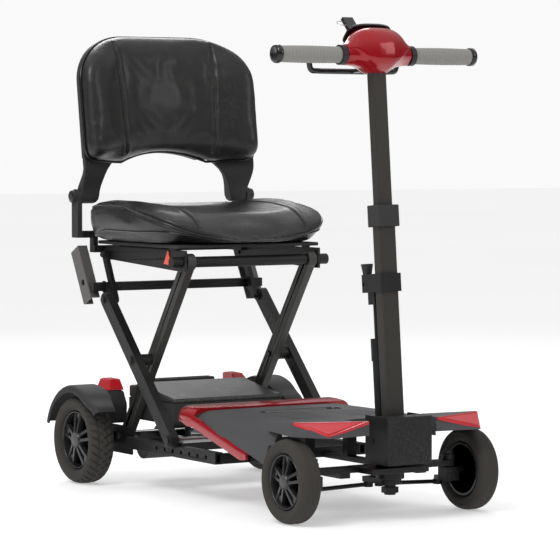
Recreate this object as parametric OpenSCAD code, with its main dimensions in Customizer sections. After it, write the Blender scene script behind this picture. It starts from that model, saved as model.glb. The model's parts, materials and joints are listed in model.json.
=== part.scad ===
// Four-wheel folding mobility scooter. X points forward, Y to the rider's left, Z up.
// The origin is on the floor, below the middle of the scooter's outline.
// Stations along X are given from the point midway between the two axles.

/* [Wheels] */
// Distance between the front and rear axles
wheelbase = 850; // [800:5:880]
// Radius of the rear tyres
rear_r = 100; // [92:1:104]
// Width of the rear tyres
rear_w = 62; // [50:1:64]
// Distance between the middles of the rear tyres
rear_track = 495; // [490:5:540]
// Radius of the front tyres
front_r = 87.5; // [80:0.5:90]
// Width of the front tyres
front_w = 48; // [40:1:50]
// Distance between the middles of the front tyres
front_track = 446; // [440:2:480]
// Seat radius of the rear rims
rear_rim_r = 66; // [58:1:70]
// Seat radius of the front rims
front_rim_r = 57; // [50:1:60]

/* [Scissor frame] */
// Inner arm length from the bottom pivot to the crossing
inner_low = 222; // [216:1:226]
// Inner arm length from the crossing to the seat tube
inner_high = 274; // [262:1:290]
// Outer arm length from the roller to the crossing
outer_low = 234; // [230:1:240]
// Outer arm length from the crossing to its top pivot
outer_high = 182; // [174:1:190]
// Slope of the inner arms with the seat raised
arm_angle = 55.2; // [52:0.1:57]
// Width of the arm tubes, across the scooter
arm_w = 20; // [16:1:22]
// Depth of the arm tubes, along their plane
arm_h = 32; // [26:1:34]
// Distance from the middle of the scooter to the middle of an inner arm
inner_arm_y = 158; // [154:1:160]
// Height of the seat's rear pivot above the outer arm's top pivot
link_rise = 101.2; // [90:0.1:110]
// Distance of the seat's rear pivot behind the outer arm's top pivot
link_back = 47.4; // [40:0.1:55]

/* [Base] */
// Height of the rollers' running face
track_z = 112.5; // [108:0.5:116]
// Half width of the deck
deck_half = 205; // [199:1:210]
// Height of the deck's walking surface
deck_z = 196; // [190:1:204]
// Wall of the moulded panels
panel_t = 4; // [2.5:0.5:5]
// Half width of the battery
battery_half = 143; // [120:1:144]
// Length of the battery
battery_len = 210; // [180:5:215]

/* [Seat] */
// Width of the seat cushion
seat_w = 448; // [400:4:460]
// Depth of the seat cushion, front to back
seat_d = 410; // [380:2:420]
// Width of the backrest
back_w = 456; // [420:4:480]
// Height of the backrest above its hinge
back_h = 374; // [340:2:400]
// Backward lean of the backrest
back_lean = 8; // [4:0.5:12]

/* [Tiller] */
// Backward lean of the tiller
tiller_lean = 5.1; // [2:0.1:8]
// Length of the lower tiller tube above its hinge
lower_tube_len = 478; // [440:1:490]
// Width of the lower tube, across the scooter
tube_w = 42; // [38:1:46]
// Depth of the lower tube
tube_d = 28; // [26:1:32]
// Wall of the lower tube
tube_t = 2.5; // [1.5:0.5:3]
// Height of the handlebar above the hinge, along the tiller
bar_s = 800; // [760:1:840]
// Length of the handlebar
bar_len = 500; // [460:2:520]
// Radius of the grips
grip_r = 18.5; // [16:0.5:20]
// Radius of the steering stem
stem_r = 12; // [10:0.5:14]

/* [Fits] */
// Radial clearance of a running shaft
run_fit = 0.08; // [0.03:0.01:0.1]
// Gap between pieces that rest close together
seat_gap = 0.3; // [0.2:0.05:0.4]
// Clearance between parts that slide past each other
side_gap = 1; // [0.5:0.1:1.5]

/* [Hidden] */
$fn = 48;
eps = 0.01;

// Stations along X, from the point midway between the axles
front_x = wheelbase / 2;
rear_x = -wheelbase / 2;
steer_x = front_x + 32;
pivot_x = rear_x + 42;
pivot_z = rear_r + 9;
roller_r = 11.2;
roller_gap = 0.3;
roller_z = track_z + roller_r + roller_gap;

// Scissor joints with the seat raised, as [x, z]
crossing = [pivot_x + inner_low * cos(arm_angle), pivot_z + inner_low * sin(arm_angle)];
seat_pivot = [pivot_x + (inner_low + inner_high) * cos(arm_angle),
              pivot_z + (inner_low + inner_high) * sin(arm_angle)];
outer_angle = asin((crossing[1] - roller_z) / outer_low);
roller_at = [crossing[0] + outer_low * cos(outer_angle), roller_z];
outer_top = [crossing[0] - outer_high * cos(outer_angle),
             crossing[1] + outer_high * sin(outer_angle)];
link_top = [outer_top[0] - link_back, outer_top[1] + link_rise];

// Layers across the scooter, from the inner arm outwards
inner_arm_out = inner_arm_y + arm_w / 2;
plate_y0 = inner_arm_out + 3;
plate_y1 = plate_y0 + 6;
link_y0 = plate_y1 + 4;
link_y1 = link_y0 + 10;
gusset_y0 = link_y1 + side_gap;
gusset_y1 = gusset_y0 + 3;
outer_arm_y0 = gusset_y1 + side_gap;
outer_arm_y1 = outer_arm_y0 + arm_w;
rail_y0 = inner_arm_out + 8;
rail_y1 = outer_arm_y0 - side_gap / 2;
rail_t = 5;

// Levels of the base
axle_tube_r = 14;
shaft_r = 9;
pivot_r = 8;
rail_bottom = track_z - 26;
beam_z = 98;
beam_t = 12;

// Steering
kingpin_y = front_track / 2 - front_w / 2 - 27;
kingpin_r = 7;
boss_z0 = beam_z - 2;
boss_z1 = boss_z0 + 26;
head_z0 = 84;
head_z1 = 118;
pitman_t = 11.5;
arm_back = 60;
arm_side = 14;
rod_drop = 10;
yoke_half = 55;
yoke_rear = steer_x - 10;
yoke_front = steer_x + 73;
yoke_top = 218;
yoke_t = 5;
yoke_sweep = 94;
hinge_x = steer_x + 15.4;
hinge_z = 165;
hinge_r = 6;

// Battery
battery_x1 = rear_x + 235;
battery_x0 = battery_x1 - battery_len;
battery_z0 = rear_r + 50;
battery_z1 = 205;

// Seat
seat_front = seat_pivot[0] + 25;
seat_rear = seat_front - seat_d;
pan_z = seat_pivot[1] + 30;
cushion_z0 = pan_z + 8.3;
cushion_z1 = cushion_z0 + 88;
back_x = link_top[0] - 59;
back_z = pan_z + 109;
back_curve_r = 520;
shell_t = 12;
pad_t = 36;
pad_bottom = 84;
corner_run = 138;
corner_rise = 104;
back_crown = 9;
arch_z = -160;
arch_r = 262;
hinge_pin_r = 8;
hinge_y0 = back_w / 2 - 26;
hinge_y1 = back_w / 2 - 6;

// Rear carrier, hung on the outer arms' top pivots
cross_at = [outer_top[0] - 40, outer_top[1] + 28];
cross_half = 10;
receiver_at = [outer_top[0] - 74, outer_top[1] + 36];
receiver_lean = 28;
receiver_hole_r = 8;
receiver_y1 = outer_arm_y1 + 15;

// The frame's origin lies below the middle of the outline
outline_front = yoke_front;
outline_rear = back_x - back_h * sin(back_lean) - (shell_t + 3) * cos(back_lean);
origin_x = -(outline_front + outline_rear) / 2;

// ---------------------------------------------------------------- helpers

module place() {
    translate([origin_x, 0, 0]) children();
}

module both_sides() {
    children();
    mirror([0, 1, 0]) children();
}

module side(right) {
    mirror([0, right ? 1 : 0, 0]) children();
}

// A solid between two Y planes, from an outline drawn in X and Z
module y_slab(y0, y1) {
    translate([0, y1, 0]) rotate([90, 0, 0]) linear_extrude(y1 - y0) children();
}

// A round bar along Y at [x, z]
module y_bar(at, r, y0, y1) {
    translate([at[0], y0, at[1]]) rotate([-90, 0, 0]) cylinder(r = r, h = y1 - y0);
}

// A flat bar with round ends between two points; its sides lie just inside the ends
module bar_outline(p, q, half) {
    length = norm(q - p);
    inside = half - 0.05;
    translate(p) circle(half);
    translate(q) circle(half);
    translate(p) rotate(atan2(q[1] - p[1], q[0] - p[0]))
        translate([0, -inside]) square([length, 2 * inside]);
}

module rounded_rect(w, h, r) {
    square([w - 2 * r, h], center = true);
    square([w, h - 2 * r], center = true);
    for (x = [-1, 1], y = [-1, 1])
        translate([x * (w / 2 - r), y * (h / 2 - r)]) circle(r);
}

module rounded_box(w, d, h, r) {
    linear_extrude(h) rounded_rect(w, d, r);
}

module tiller_frame() {
    place() translate([hinge_x, 0, hinge_z]) rotate([0, -tiller_lean, 0]) children();
}

module back_frame() {
    place() translate([back_x, 0, back_z]) rotate([0, -back_lean, 0]) children();
}

// ---------------------------------------------------------------- base

rail_front = 75;
rail_rear = rear_x - 50;
tall_front = rear_x + 105;

module rail(right) {
    color("#2b2b2c") place() side(right) difference() {
        union() {
            y_slab(rail_y0, rail_y0 + rail_t) {
                translate([rail_rear, rail_bottom])
                    square([rail_front - rail_rear, track_z - rail_bottom]);
                translate([rail_rear, rear_r - 30])
                    square([tall_front - rail_rear, 64]);
            }
            y_slab(rail_y0, rail_y1) {
                translate([tall_front, track_z - 4]) square([rail_front - tall_front, 4]);
                translate([tall_front, rail_bottom]) square([rail_front - tall_front, 4]);
            }
            y_slab(rail_y1 - 4, rail_y1)
                translate([tall_front, rail_bottom])
                    square([rail_front - tall_front, track_z - rail_bottom]);
        }
        y_bar([rear_x, rear_r], axle_tube_r + run_fit, 0, rail_y1 + 1);
        y_bar([pivot_x, pivot_z], pivot_r + run_fit, 0, rail_y1 + 1);
        for (x = [-180:36:rail_front - 20])
            y_bar([x, track_z - 13], 4.5, rail_y1 - 5, rail_y1 + 1);
    }
}

module right_rail() { rail(true); }
module left_rail() { rail(false); }

cross_xs = [rear_x + 125, rear_x + 225, rail_front - 12];

module frame_cross_tubes() {
    color("#2b2b2c") place() for (x = cross_xs)
        translate([x - 10, -rail_y0, rail_bottom])
            cube([20, 2 * rail_y0, track_z - 4 - rail_bottom]);
}

spine_y = 96;
spine_x0 = rail_front - 2 + 0.2;

spine_half = 12;
post_xs = [front_x - 275, front_x - 145];

// Two bars that carry the front axle beam, with posts under the deck
module frame_spines() {
    color("#2b2b2c") place() both_sides() {
        translate([spine_x0, spine_y - spine_half, rail_bottom])
            cube([front_x + 10 - spine_x0, 2 * spine_half, beam_z - 0.2 - rail_bottom]);
        for (x = post_xs)
            translate([x, spine_y - spine_half, rail_bottom])
                cube([20, 2 * spine_half, deck_z - panel_t - 0.2 - rail_bottom]);
    }
}

module pivot_shaft() {
    color("#8d8f92") place()
        y_bar([pivot_x, pivot_z], pivot_r, -(rail_y0 + rail_t + 3), rail_y0 + rail_t + 3);
}

deck_rear = -60;
deck_front = front_x - 97;
arch_x = front_x - 125;
skirt_slope = 15;
trim_h = 26;
trim_z = deck_z + 9;
skirt_z0 = trim_z - trim_h - 4;

// Lower edge of the sloping side strip at a station x
function strip_z(x) = skirt_z0 - (x - deck_rear) * tan(skirt_slope);
strip_end = 205;
// Length of the strip's lower edge that is cut back for the outer arms' sweep
sweep_run = 34;
deck_bottom = 92;

module deck_outline() {
    polygon([
        [deck_rear + 58, deck_z], [deck_front, deck_z], [deck_front, deck_bottom + 8],
        [strip_end + 40, deck_bottom], [strip_end + 14, strip_z(strip_end) + 4],
        [deck_rear + 58, strip_z(deck_rear + 58) + trim_h + 1]
    ]);
}

module deck_shell() {
    color("#3a3b3d") place() difference() {
        y_slab(-deck_half, deck_half) deck_outline();
        // Hollow below
        translate([deck_rear - 10, -(deck_half - panel_t), deck_bottom - 10])
            cube([deck_front - deck_rear + 10 - panel_t,
                  2 * (deck_half - panel_t), deck_z - panel_t - deck_bottom + 10]);
        // Room for the front wheels to steer
        both_sides() translate([arch_x, kingpin_y - 40, 0]) cube([200, 200, 2 * deck_z]);
        // Hand slot for carrying
        translate([112, 0, deck_z - panel_t - 1]) rounded_slot(34, 186, panel_t + 2);
    }
}

module rounded_slot(w, l, h) {
    linear_extrude(h) rounded_rect(w, l, w / 2 - eps);
}

// Sloping strip on each side and the raised band across the deck's rear edge
module deck_trim() {
    color("#a3131c") place() {
        y_slab(-deck_half, deck_half) polygon([
            [deck_rear, trim_z], [deck_rear + 56, trim_z - 5],
            [deck_rear + 57.7, deck_z - 1], [deck_rear + 57.7, deck_z - panel_t],
            [deck_rear, trim_z - 12]
        ]);
        both_sides() y_slab(deck_half - 5, deck_half) polygon([
            [deck_rear, trim_z], [deck_rear + 30, trim_z - 3],
            [deck_rear + 57.7, strip_z(deck_rear + 58) + trim_h + 0.6],
            [strip_end + 13.4, strip_z(strip_end) + 3.6], [strip_end, strip_z(strip_end)],
            [deck_rear + sweep_run, strip_z(deck_rear + sweep_run)],
            [deck_rear - 16, trim_z - 13], [deck_rear - 16, trim_z - 8]
        ]);
    }
}

flap_z = 181;
ridge_z = 211;
ridge_x = front_x + 20;
flap_tip = [front_x + 90, kingpin_y + 18];
flap_out = front_track / 2 + 9;
flap_inner = [steer_x + 48, 84];
lens_t = 6;

module front_cover() {
    color("#333436") place() difference() {
        union() {
            both_sides() hull() {
                translate([deck_front - 48, 40, flap_z]) cube([10, deck_half - 44, deck_z - flap_z - 2]);
                translate([ridge_x - 8, flap_out - 4, flap_z]) cube([8, 4, ridge_z - flap_z]);
                translate([flap_inner[0] - 8, flap_inner[1], flap_z])
                    cube([8, 8, ridge_z - flap_z]);
                translate([flap_tip[0] - 3, flap_tip[1] - 4, flap_z]) cube([3, 4, 2]);
            }
            hull() {
                translate([deck_front + 0.3, -(kingpin_y - 42), deck_z - 22])
                    cube([10, 2 * (kingpin_y - 42), 22]);
                translate([steer_x - yoke_sweep + 4, -88, deck_z - 22]) cube([10, 176, 27]);
            }
        }
        translate([steer_x, 0, 0]) cylinder(r = yoke_sweep, h = 2 * ridge_z, $fn = 64);
        translate([deck_front - 60, -(kingpin_y - 39.7), 0])
            cube([60 + seat_gap, 2 * (kingpin_y - 39.7), deck_z]);
        translate([deck_front - 60, -deck_half - 1, 0])
            cube([arch_x - deck_front + 60 + seat_gap, 2 * deck_half + 2, deck_z]);
        both_sides() lens_solid(seat_gap, lens_t);
    }
}

// Wedge between the ridge of a wheel cover and its tip
module lens_solid(grow, extra) {
    edge = [2 + 2 * grow, 4 + 2 * grow, lens_t + grow + extra];
    hull() {
        translate([ridge_x + seat_gap - grow, flap_out - 5 - grow, ridge_z - lens_t - grow])
            cube(edge);
        translate([flap_inner[0] + seat_gap - grow, flap_inner[1] + 2 - grow,
                   ridge_z - lens_t - grow]) cube(edge);
        translate([flap_tip[0] - 4 - grow, flap_tip[1] - 5 - grow, flap_z + 2 - grow])
            cube([3 + 2 * grow, 4 + 2 * grow, lens_t / 2 + grow + extra]);
    }
}

module front_lenses() {
    color("#c8101c") place() both_sides() lens_solid(0, 0);
}

module front_axle_beam() {
    color("#262627") place() difference() {
        union() {
            translate([0, 0, beam_z]) linear_extrude(beam_t) {
                translate([front_x - 16, -kingpin_y]) square([32, 2 * kingpin_y]);
                translate([front_x - 20, -70]) square([steer_x + 42 - front_x + 20, 140]);
            }
            both_sides() translate([front_x, kingpin_y, boss_z0]) cylinder(r = 14, h = boss_z1 - boss_z0);
            translate([steer_x, 0, head_z0]) cylinder(r = 30, h = head_z1 - head_z0);
        }
        both_sides() translate([front_x, kingpin_y, 0]) cylinder(r = kingpin_r + run_fit, h = 200);
        translate([steer_x, 0, 0]) cylinder(r = stem_r + run_fit, h = 200);
    }
}

fender_r = rear_r + 31;
fender_t = 4;
fender_in = outer_arm_y1 - 2;
fender_out = rear_track / 2 + rear_w / 2 + 6;

module rear_fenders() {
    color("#2a2a2b") place() both_sides() difference() {
        union() {
            y_bar([rear_x, rear_r], fender_r, fender_in, fender_out);
            y_slab(inner_arm_y - 10, fender_in) polygon([
                [rear_x - 70, rear_r + 35], [rear_x + 34, rear_r + 35],
                [rear_x + 34, rear_r + 78], [rear_x + 18, rear_r + 110],
                [rear_x - 45, rear_r + 110], [rear_x - 70, rear_r + 80]
            ]);
        }
        y_bar([rear_x, rear_r], fender_r - fender_t, fender_in + fender_t, fender_out + 1);
        y_bar([rear_x, rear_r], rear_r - 10, fender_in - 1, fender_out + 1);
        translate([rear_x - 200, fender_in - 1, -200]) cube([400, 200, rear_r + 235]);
        translate([rear_x + 78, fender_in - 1, 0]) cube([200, 200, 400]);
    }
}

module tail_lenses() {
    color("#c01520") place() both_sides() hull() {
        translate([rear_x - 44, inner_arm_y - 8, rear_r + 110.2]) cube([40, 30, 24]);
        translate([rear_x - 44, inner_arm_y - 8, rear_r + 110.2]) cube([58, 40, 2]);
    }
}

module transaxle() {
    color("#3b3c3e") place() difference() {
        union() {
            y_bar([rear_x, rear_r], axle_tube_r, -(outer_arm_y1 - 8), outer_arm_y1 - 8);
            y_bar([rear_x, rear_r], 33, -34, 34);
            y_bar([rear_x, rear_r], 22, -52, 52);
        }
        both_sides() y_bar([rear_x, rear_r], shaft_r + run_fit, 130, 400);
    }
}

motor_at = [rear_x + 84, rear_r - 12];
motor_r = cross_xs[0] - 10 - seat_gap - motor_at[0];

module drive_motor() {
    color("#4a4b4d") place() {
        y_bar(motor_at, motor_r, -140, -34.2);
        y_bar(motor_at, 12, -34.2, 30);
    }
}

tray_z = battery_z0 - 3.3;

module battery_tray() {
    color("#2b2b2c") place() {
        translate([battery_x0 - 2, -battery_half, tray_z])
            cube([battery_len + 6, 2 * battery_half, 3]);
        both_sides() for (x = [cross_xs[0], cross_xs[1]])
            translate([x - 9, 100, track_z - 3.8]) cube([18, 5, tray_z - track_z + 3.8 + eps]);
    }
}

module battery_case() {
    color("#1f1f20") place()
        translate([battery_x0, -battery_half, battery_z0])
            cube([battery_len, 2 * battery_half, battery_z1 - 10 - battery_z0]);
}

lid_rise = 30;

module battery_lid() {
    color("#6b6b69") place() y_slab(-battery_half, battery_half) polygon([
        [battery_x0, battery_z1 - 10], [battery_x1, battery_z1 - 10],
        [battery_x1, battery_z1], [battery_x0 + 40, battery_z1 + lid_rise - 4],
        [battery_x0 + 28, battery_z1 + lid_rise - 12], [battery_x0, battery_z1 + lid_rise - 12]
    ]);
}

handle_at = [battery_x0 + 10, battery_z1 + lid_rise - 6.5];

module battery_handle() {
    color("#161617") place() {
        y_bar(handle_at, 5, -78, 78);
        both_sides() y_slab(70, 78) bar_outline(handle_at, handle_at + [-22, 0], 5);
        y_bar(handle_at + [-22, 0], 5.5, -78, 78);
    }
}

// ---------------------------------------------------------------- wheels

// A tyre about the Y axis, with rounded shoulders
module tyre(r, inner_r, w) {
    shoulder = min(w * 0.3, (r - inner_r) / 2);
    rotate([90, 0, 0]) rotate_extrude($fn = 72) {
        translate([inner_r, -w / 2 + 6]) square([r - inner_r - shoulder, w - 12]);
        translate([inner_r + 6, -w / 2]) square([r - inner_r - shoulder - 6, w]);
        translate([inner_r + 6, -w / 2 + shoulder]) square([r - inner_r - 6, w - 2 * shoulder]);
        for (s = [-1, 1])
            translate([r - shoulder, s * (w / 2 - shoulder)]) circle(shoulder);
        for (s = [-1, 1])
            translate([inner_r + 6, s * (w / 2 - 6)]) circle(6);
    }
}

// A rim with five double spokes; the outer face is towards +Y
module rim(seat_r, w, face, hub_r, bore_r) {
    difference() {
        union() {
            rotate([90, 0, 0]) rotate_extrude($fn = 72) {
                translate([seat_r - 5, -w / 2 + 8]) square([5, w - 16]);
                translate([seat_r - 5, -face]) square([5, 4]);
            }
            rotate([90, 0, 0]) translate([0, 0, -face - 2]) cylinder(r = hub_r, h = face + w / 2 - 4);
            for (k = [0:4], s = [-1, 1]) rotate([0, 72 * k + 9 * s, 0])
                translate([hub_r - 4, face - 9, -3.2 - 2 * s]) cube([seat_r - hub_r, 9, 6.4]);
        }
        rotate([90, 0, 0]) translate([0, 0, -100]) cylinder(r = bore_r, h = 200);
    }
}

module rear_tyre(right) {
    color("#2d2a27") place() side(right)
        translate([rear_x, rear_track / 2, rear_r]) tyre(rear_r, rear_rim_r, rear_w);
}

module front_tyre(right) {
    color("#2d2a27") place() side(right)
        translate([front_x, front_track / 2, front_r]) tyre(front_r, front_rim_r, front_w);
}

// The rear rim is keyed to its half shaft, which turns inside the axle tube
module rear_rim(right) {
    color("#1d1d1e") place() side(right) {
        translate([rear_x, rear_track / 2, rear_r]) rim(rear_rim_r - 0.2, rear_w, 18, 19, shaft_r - 1);
        y_bar([rear_x, rear_r], shaft_r, 132, rear_track / 2 + 24);
    }
}

module front_rim(right) {
    color("#1d1d1e") place() side(right)
        translate([front_x, front_track / 2, front_r])
            rim(front_rim_r - 0.2, front_w, 14, 17, kingpin_r + 1 + run_fit);
}

module right_rear_tyre() { rear_tyre(true); }
module left_rear_tyre() { rear_tyre(false); }
module right_front_tyre() { front_tyre(true); }
module left_front_tyre() { front_tyre(false); }
module right_rear_rim() { rear_rim(true); }
module left_rear_rim() { rear_rim(false); }
module right_front_rim() { front_rim(true); }
module left_front_rim() { front_rim(false); }

// ---------------------------------------------------------------- steering

pitman_z = head_z0 - 0.4 - pitman_t;
arm_z = pitman_z - rod_drop;
eye_h = 11;
eye_r = 10;
stud_r = 4;

// Kingpin, stub axle and the arm that the tie rod pushes
module knuckle(right) {
    color("#3b3b3d") place() side(right) translate([front_x, kingpin_y, 0]) {
        translate([0, 0, arm_z + 8]) cylinder(r = kingpin_r, h = boss_z1 + 10 - arm_z - 8);
        translate([0, 0, boss_z1 + side_gap]) cylinder(r = 12, h = 8, $fn = 6);
        translate([-16, -16, arm_z + 4]) cube([32, 32, boss_z0 - side_gap - arm_z - 4]);
        translate([0, 0, front_r]) rotate([-90, 0, 0])
            cylinder(r = kingpin_r + 1, h = front_track / 2 - kingpin_y + 20);
        translate([0, 0, arm_z]) linear_extrude(8)
            bar_outline([0, 0], [-arm_back, arm_side], 8);
        translate([-arm_back, arm_side, arm_z - seat_gap - eye_h])
            cylinder(r = stud_r, h = seat_gap + eye_h + 1);
    }
}

module right_knuckle() { knuckle(true); }
module left_knuckle() { knuckle(false); }

module steering_stem() {
    color("#39393b") place() translate([steer_x, 0, 0]) {
        translate([0, 0, 50]) cylinder(r = stem_r, h = head_z1 + side_gap - 50);
        translate([0, 0, 54]) cylinder(r = 18, h = 12, $fn = 6);
        translate([0, 0, pitman_z]) linear_extrude(pitman_t) {
            circle(24);
            translate([-arm_back - 8, -arm_side - 10]) square([arm_back + 8, 2 * arm_side + 20]);
        }
        both_sides() translate([-arm_back, arm_side, pitman_z - seat_gap - eye_h])
            cylinder(r = stud_r, h = seat_gap + eye_h + 1);
    }
}

// Tie rod from the pitman arm down to the knuckle arm
module tie_rod(right) {
    inner = [steer_x - arm_back, arm_side];
    outer = [front_x - arm_back, kingpin_y + arm_side];
    run = norm(outer - inner);
    inner_z = pitman_z - seat_gap - eye_h;
    outer_z = arm_z - seat_gap - eye_h;
    color("#2f2f31") place() side(right) difference() {
        union() {
            translate([inner[0], inner[1], inner_z]) cylinder(r = eye_r, h = eye_h);
            translate([outer[0], outer[1], outer_z]) cylinder(r = eye_r, h = eye_h);
            translate([inner[0], inner[1], inner_z + eye_h / 2])
                rotate([0, 0, atan2(outer[1] - inner[1], outer[0] - inner[0])])
                    rotate([0, 90 + atan2(inner_z - outer_z, run), 0])
                        cylinder(r = 4.5, h = norm([run, inner_z - outer_z]));
        }
        translate([inner[0], inner[1], 0]) cylinder(r = stud_r + run_fit, h = head_z0);
        translate([outer[0], outer[1], 0]) cylinder(r = stud_r + run_fit, h = head_z0);
    }
}

module right_tie_rod() { tie_rod(true); }
module left_tie_rod() { tie_rod(false); }

module tiller_yoke() {
    z0 = head_z1 + side_gap;
    color("#232324") place() {
        translate([yoke_rear, -yoke_half, z0]) cube([yoke_front - yoke_rear, 2 * yoke_half, 6]);
        translate([steer_x, 0, z0]) cylinder(r = 24, h = 6);
        both_sides() translate([yoke_rear, yoke_half - yoke_t, z0])
            cube([yoke_front - yoke_rear, yoke_t, yoke_top - z0]);
        translate([yoke_front - yoke_t, -yoke_half, z0]) cube([yoke_t, 2 * yoke_half, yoke_top - z0]);
        translate([hinge_x + tube_d / 2 + 6, -yoke_half, yoke_top - yoke_t])
            cube([yoke_front - hinge_x - tube_d / 2 - 6, 2 * yoke_half, yoke_t]);
        y_bar([hinge_x, hinge_z], hinge_r, -yoke_half - 2, yoke_half + 2);
    }
}

// ---------------------------------------------------------------- tiller

tube_foot = -28;

module lower_tube() {
    color("#2a2827") tiller_frame() difference() {
        translate([0, 0, tube_foot]) rounded_box(tube_d, tube_w, lower_tube_len - tube_foot, 5);
        translate([0, 0, tube_foot + 45])
            rounded_box(tube_d - 2 * tube_t, tube_w - 2 * tube_t, lower_tube_len, 3);
        y_bar([0, 0], hinge_r + run_fit, -tube_w, tube_w);
    }
}

collar_s = lower_tube_len - 35;

module tube_collar() {
    color("#232323") tiller_frame() difference() {
        translate([0, 0, collar_s]) rounded_box(tube_d + 14, tube_w + 16, 45, 8);
        translate([0, 0, collar_s - 1]) rounded_box(tube_d + 0.2, tube_w + 0.2, 36, 5);
        translate([0, 0, collar_s]) rounded_box(upper_d + 1, upper_w + 1, 60, 3);
    }
}

upper_w = tube_w - 2 * tube_t - 1.5;
upper_d = tube_d - 2 * tube_t - 1.5;
upper_foot = lower_tube_len - 110;

module upper_tube() {
    color("#2a2827") tiller_frame()
        translate([0, 0, upper_foot]) rounded_box(upper_d, upper_w, bar_s - 36 - upper_foot, 3);
}

strut_x = -tube_d / 2 - 31;

// Lockable strut behind the lower tube, with the bracket that carries the lever
module gas_strut() {
    color("#1b1b1c") tiller_frame() {
        translate([strut_x, 0, 48]) cylinder(r = 12, h = 122);
        translate([strut_x, 0, 165]) cylinder(r = 14, h = 47);
        translate([strut_x, 0, 200]) cylinder(r = 5, h = band_s - 20 - 200);
        translate([strut_x - 12, -10, band_s - 25]) cube([24, 20, 26]);
        difference() {
            translate([(strut_x - 12 + tube_d / 2 + 5) / 2, 0, band_s])
                rounded_box(tube_d / 2 + 5 - strut_x + 12, tube_w + 10, band_h, 5);
            translate([0, 0, band_s - 1]) rounded_box(tube_d + 0.2, tube_w + 0.2, band_h + 2, 5);
            translate([strut_x - 20, -lever_slot, band_s + 4]) cube([28, 2 * lever_slot, band_h]);
            y_bar(lever_at, lever_pin_r + run_fit, -tube_w, tube_w);
        }
    }
}

band_s = 308;
band_h = 38;
lever_slot = 7;
lever_pin_r = 3.5;
lever_at = [strut_x - 3, band_s + 17];
knob_at = lever_at + [-22, 22];

module fold_lever() {
    color("#141415") tiller_frame() {
        y_bar(lever_at, lever_pin_r, -tube_w / 2, tube_w / 2);
        y_slab(-lever_slot + side_gap, lever_slot - side_gap) bar_outline(lever_at, knob_at, 5);
        translate([knob_at[0], 0, knob_at[1] - 2]) cylinder(r1 = 9, r2 = 13, h = 24);
    }
}

console_s0 = bar_s - 36;

// Moulded cowl round the handlebar's middle
module console_shell() {
    color("#9c1019") tiller_frame() difference() {
        union() {
            hull() {
                translate([-8, 0, console_s0]) rounded_box(54, 46, 6, 16, $fn = 32);
                translate([-6, 0, bar_s - 18]) rounded_box(88, 148, 30, 26, $fn = 32);
                translate([-10, 0, bar_s + 50]) rounded_box(60, 92, 10, 26, $fn = 32);
            }
            // Lug behind the cowl that carries the throttle's pivot
            translate([paddle_pin[0] - 10, -12, lug_s]) cube([40, 24, 12]);
        }
        y_bar([0, bar_s], 12 + 0.2, -bar_len, bar_len);
        translate([0, 0, console_s0 - 1]) rounded_box(upper_d + 0.4, upper_w + 0.4, 26, 3);
        translate([paddle_pin[0], 0, paddle_pin[1]]) cylinder(r = paddle_pin_r + run_fit, h = 40);
        translate([panel_at[0], 0, panel_at[1]]) rotate([0, -panel_lean, 0])
            translate([-50, -100, 0]) cube([100, 200, 60]);
    }
}

panel_lean = 40;
panel_at = [-30, bar_s + 46.6];
panel_depth = 6;

module panel_frame() {
    tiller_frame() translate([panel_at[0], 0, panel_at[1]]) rotate([0, -panel_lean, 0]) children();
}

// Dark instrument panel that faces the rider
module dash_panel() {
    color("#1c1c1d") panel_frame() difference() {
        translate([0, 0, 0.1]) rounded_box(38, 86, panel_depth, 12);
        translate([0, -key_y, -1]) cylinder(r = key_r + run_fit, h = 20);
        translate([0, key_y, -1]) cylinder(r = dial_r + run_fit, h = 20);
        translate([0, 0, -1]) cylinder(r = button_r + run_fit, h = 20);
    }
}

key_y = 27;
key_r = 6;
dial_r = 5;
button_r = 4;

module handlebar() {
    color("#1d1d1e") tiller_frame() {
        y_bar([0, bar_s], 12, -bar_len / 2 + 6, bar_len / 2 - 6);
        both_sides() y_bar([0, bar_s], 21, grip_y0 - 12, grip_y0 - 0.3);
    }
}

grip_y0 = 92;

module hand_grips() {
    color("#8a8783") tiller_frame() both_sides() difference() {
        y_bar([0, bar_s], grip_r, grip_y0, bar_len / 2);
        y_bar([0, bar_s], 12, grip_y0 - 1, bar_len / 2 - 6);
    }
}

lug_s = bar_s - 12;
paddle_pin = [-62, bar_s - 28];
paddle_pin_r = 4;
paddle_half = 116;
paddle_t = 12;

// U-shaped throttle below the handlebar, turning about a pin in the cowl's lug
module throttle_paddle() {
    color("#171718") tiller_frame() {
        translate([paddle_pin[0], 0, paddle_pin[1]]) cylinder(r = paddle_pin_r, h = 26);
        translate([paddle_pin[0], 0, paddle_pin[1]])
            cylinder(r = 8, h = lug_s - seat_gap - paddle_pin[1]);
        translate([paddle_pin[0] - 30, -8, paddle_pin[1]]) cube([36, 16, 8]);
        translate([paddle_pin[0] - 30, -paddle_half, paddle_pin[1] - 3])
            cube([paddle_t, 2 * paddle_half, 14]);
        both_sides() translate([paddle_pin[0] - 30, paddle_half - paddle_t, paddle_pin[1] - 3])
            cube([paddle_t, paddle_t, 36]);
    }
}

module ignition_key() {
    color("#2a2a29") panel_frame() translate([0, -key_y, 0]) {
        translate([0, 0, seat_gap]) cylinder(r = key_r, h = 9);
        translate([-1.5, -7, 9]) cube([3, 14, 9]);
        translate([-4, -13, 17]) cube([8, 26, 32]);
    }
}

module speed_dial() {
    color("#202021") panel_frame() translate([0, key_y, 0]) {
        translate([0, 0, seat_gap]) cylinder(r = dial_r, h = 8);
        translate([0, 0, panel_depth + 0.5]) cylinder(r = 12, h = 10);
    }
}

module horn_button() {
    color("#b07a1e") panel_frame() translate([0, 0, 2]) cylinder(r = button_r, h = 8);
}

// ---------------------------------------------------------------- scissor frame

seat_tube_r = 12;
arm_pin_r = 7;

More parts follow.
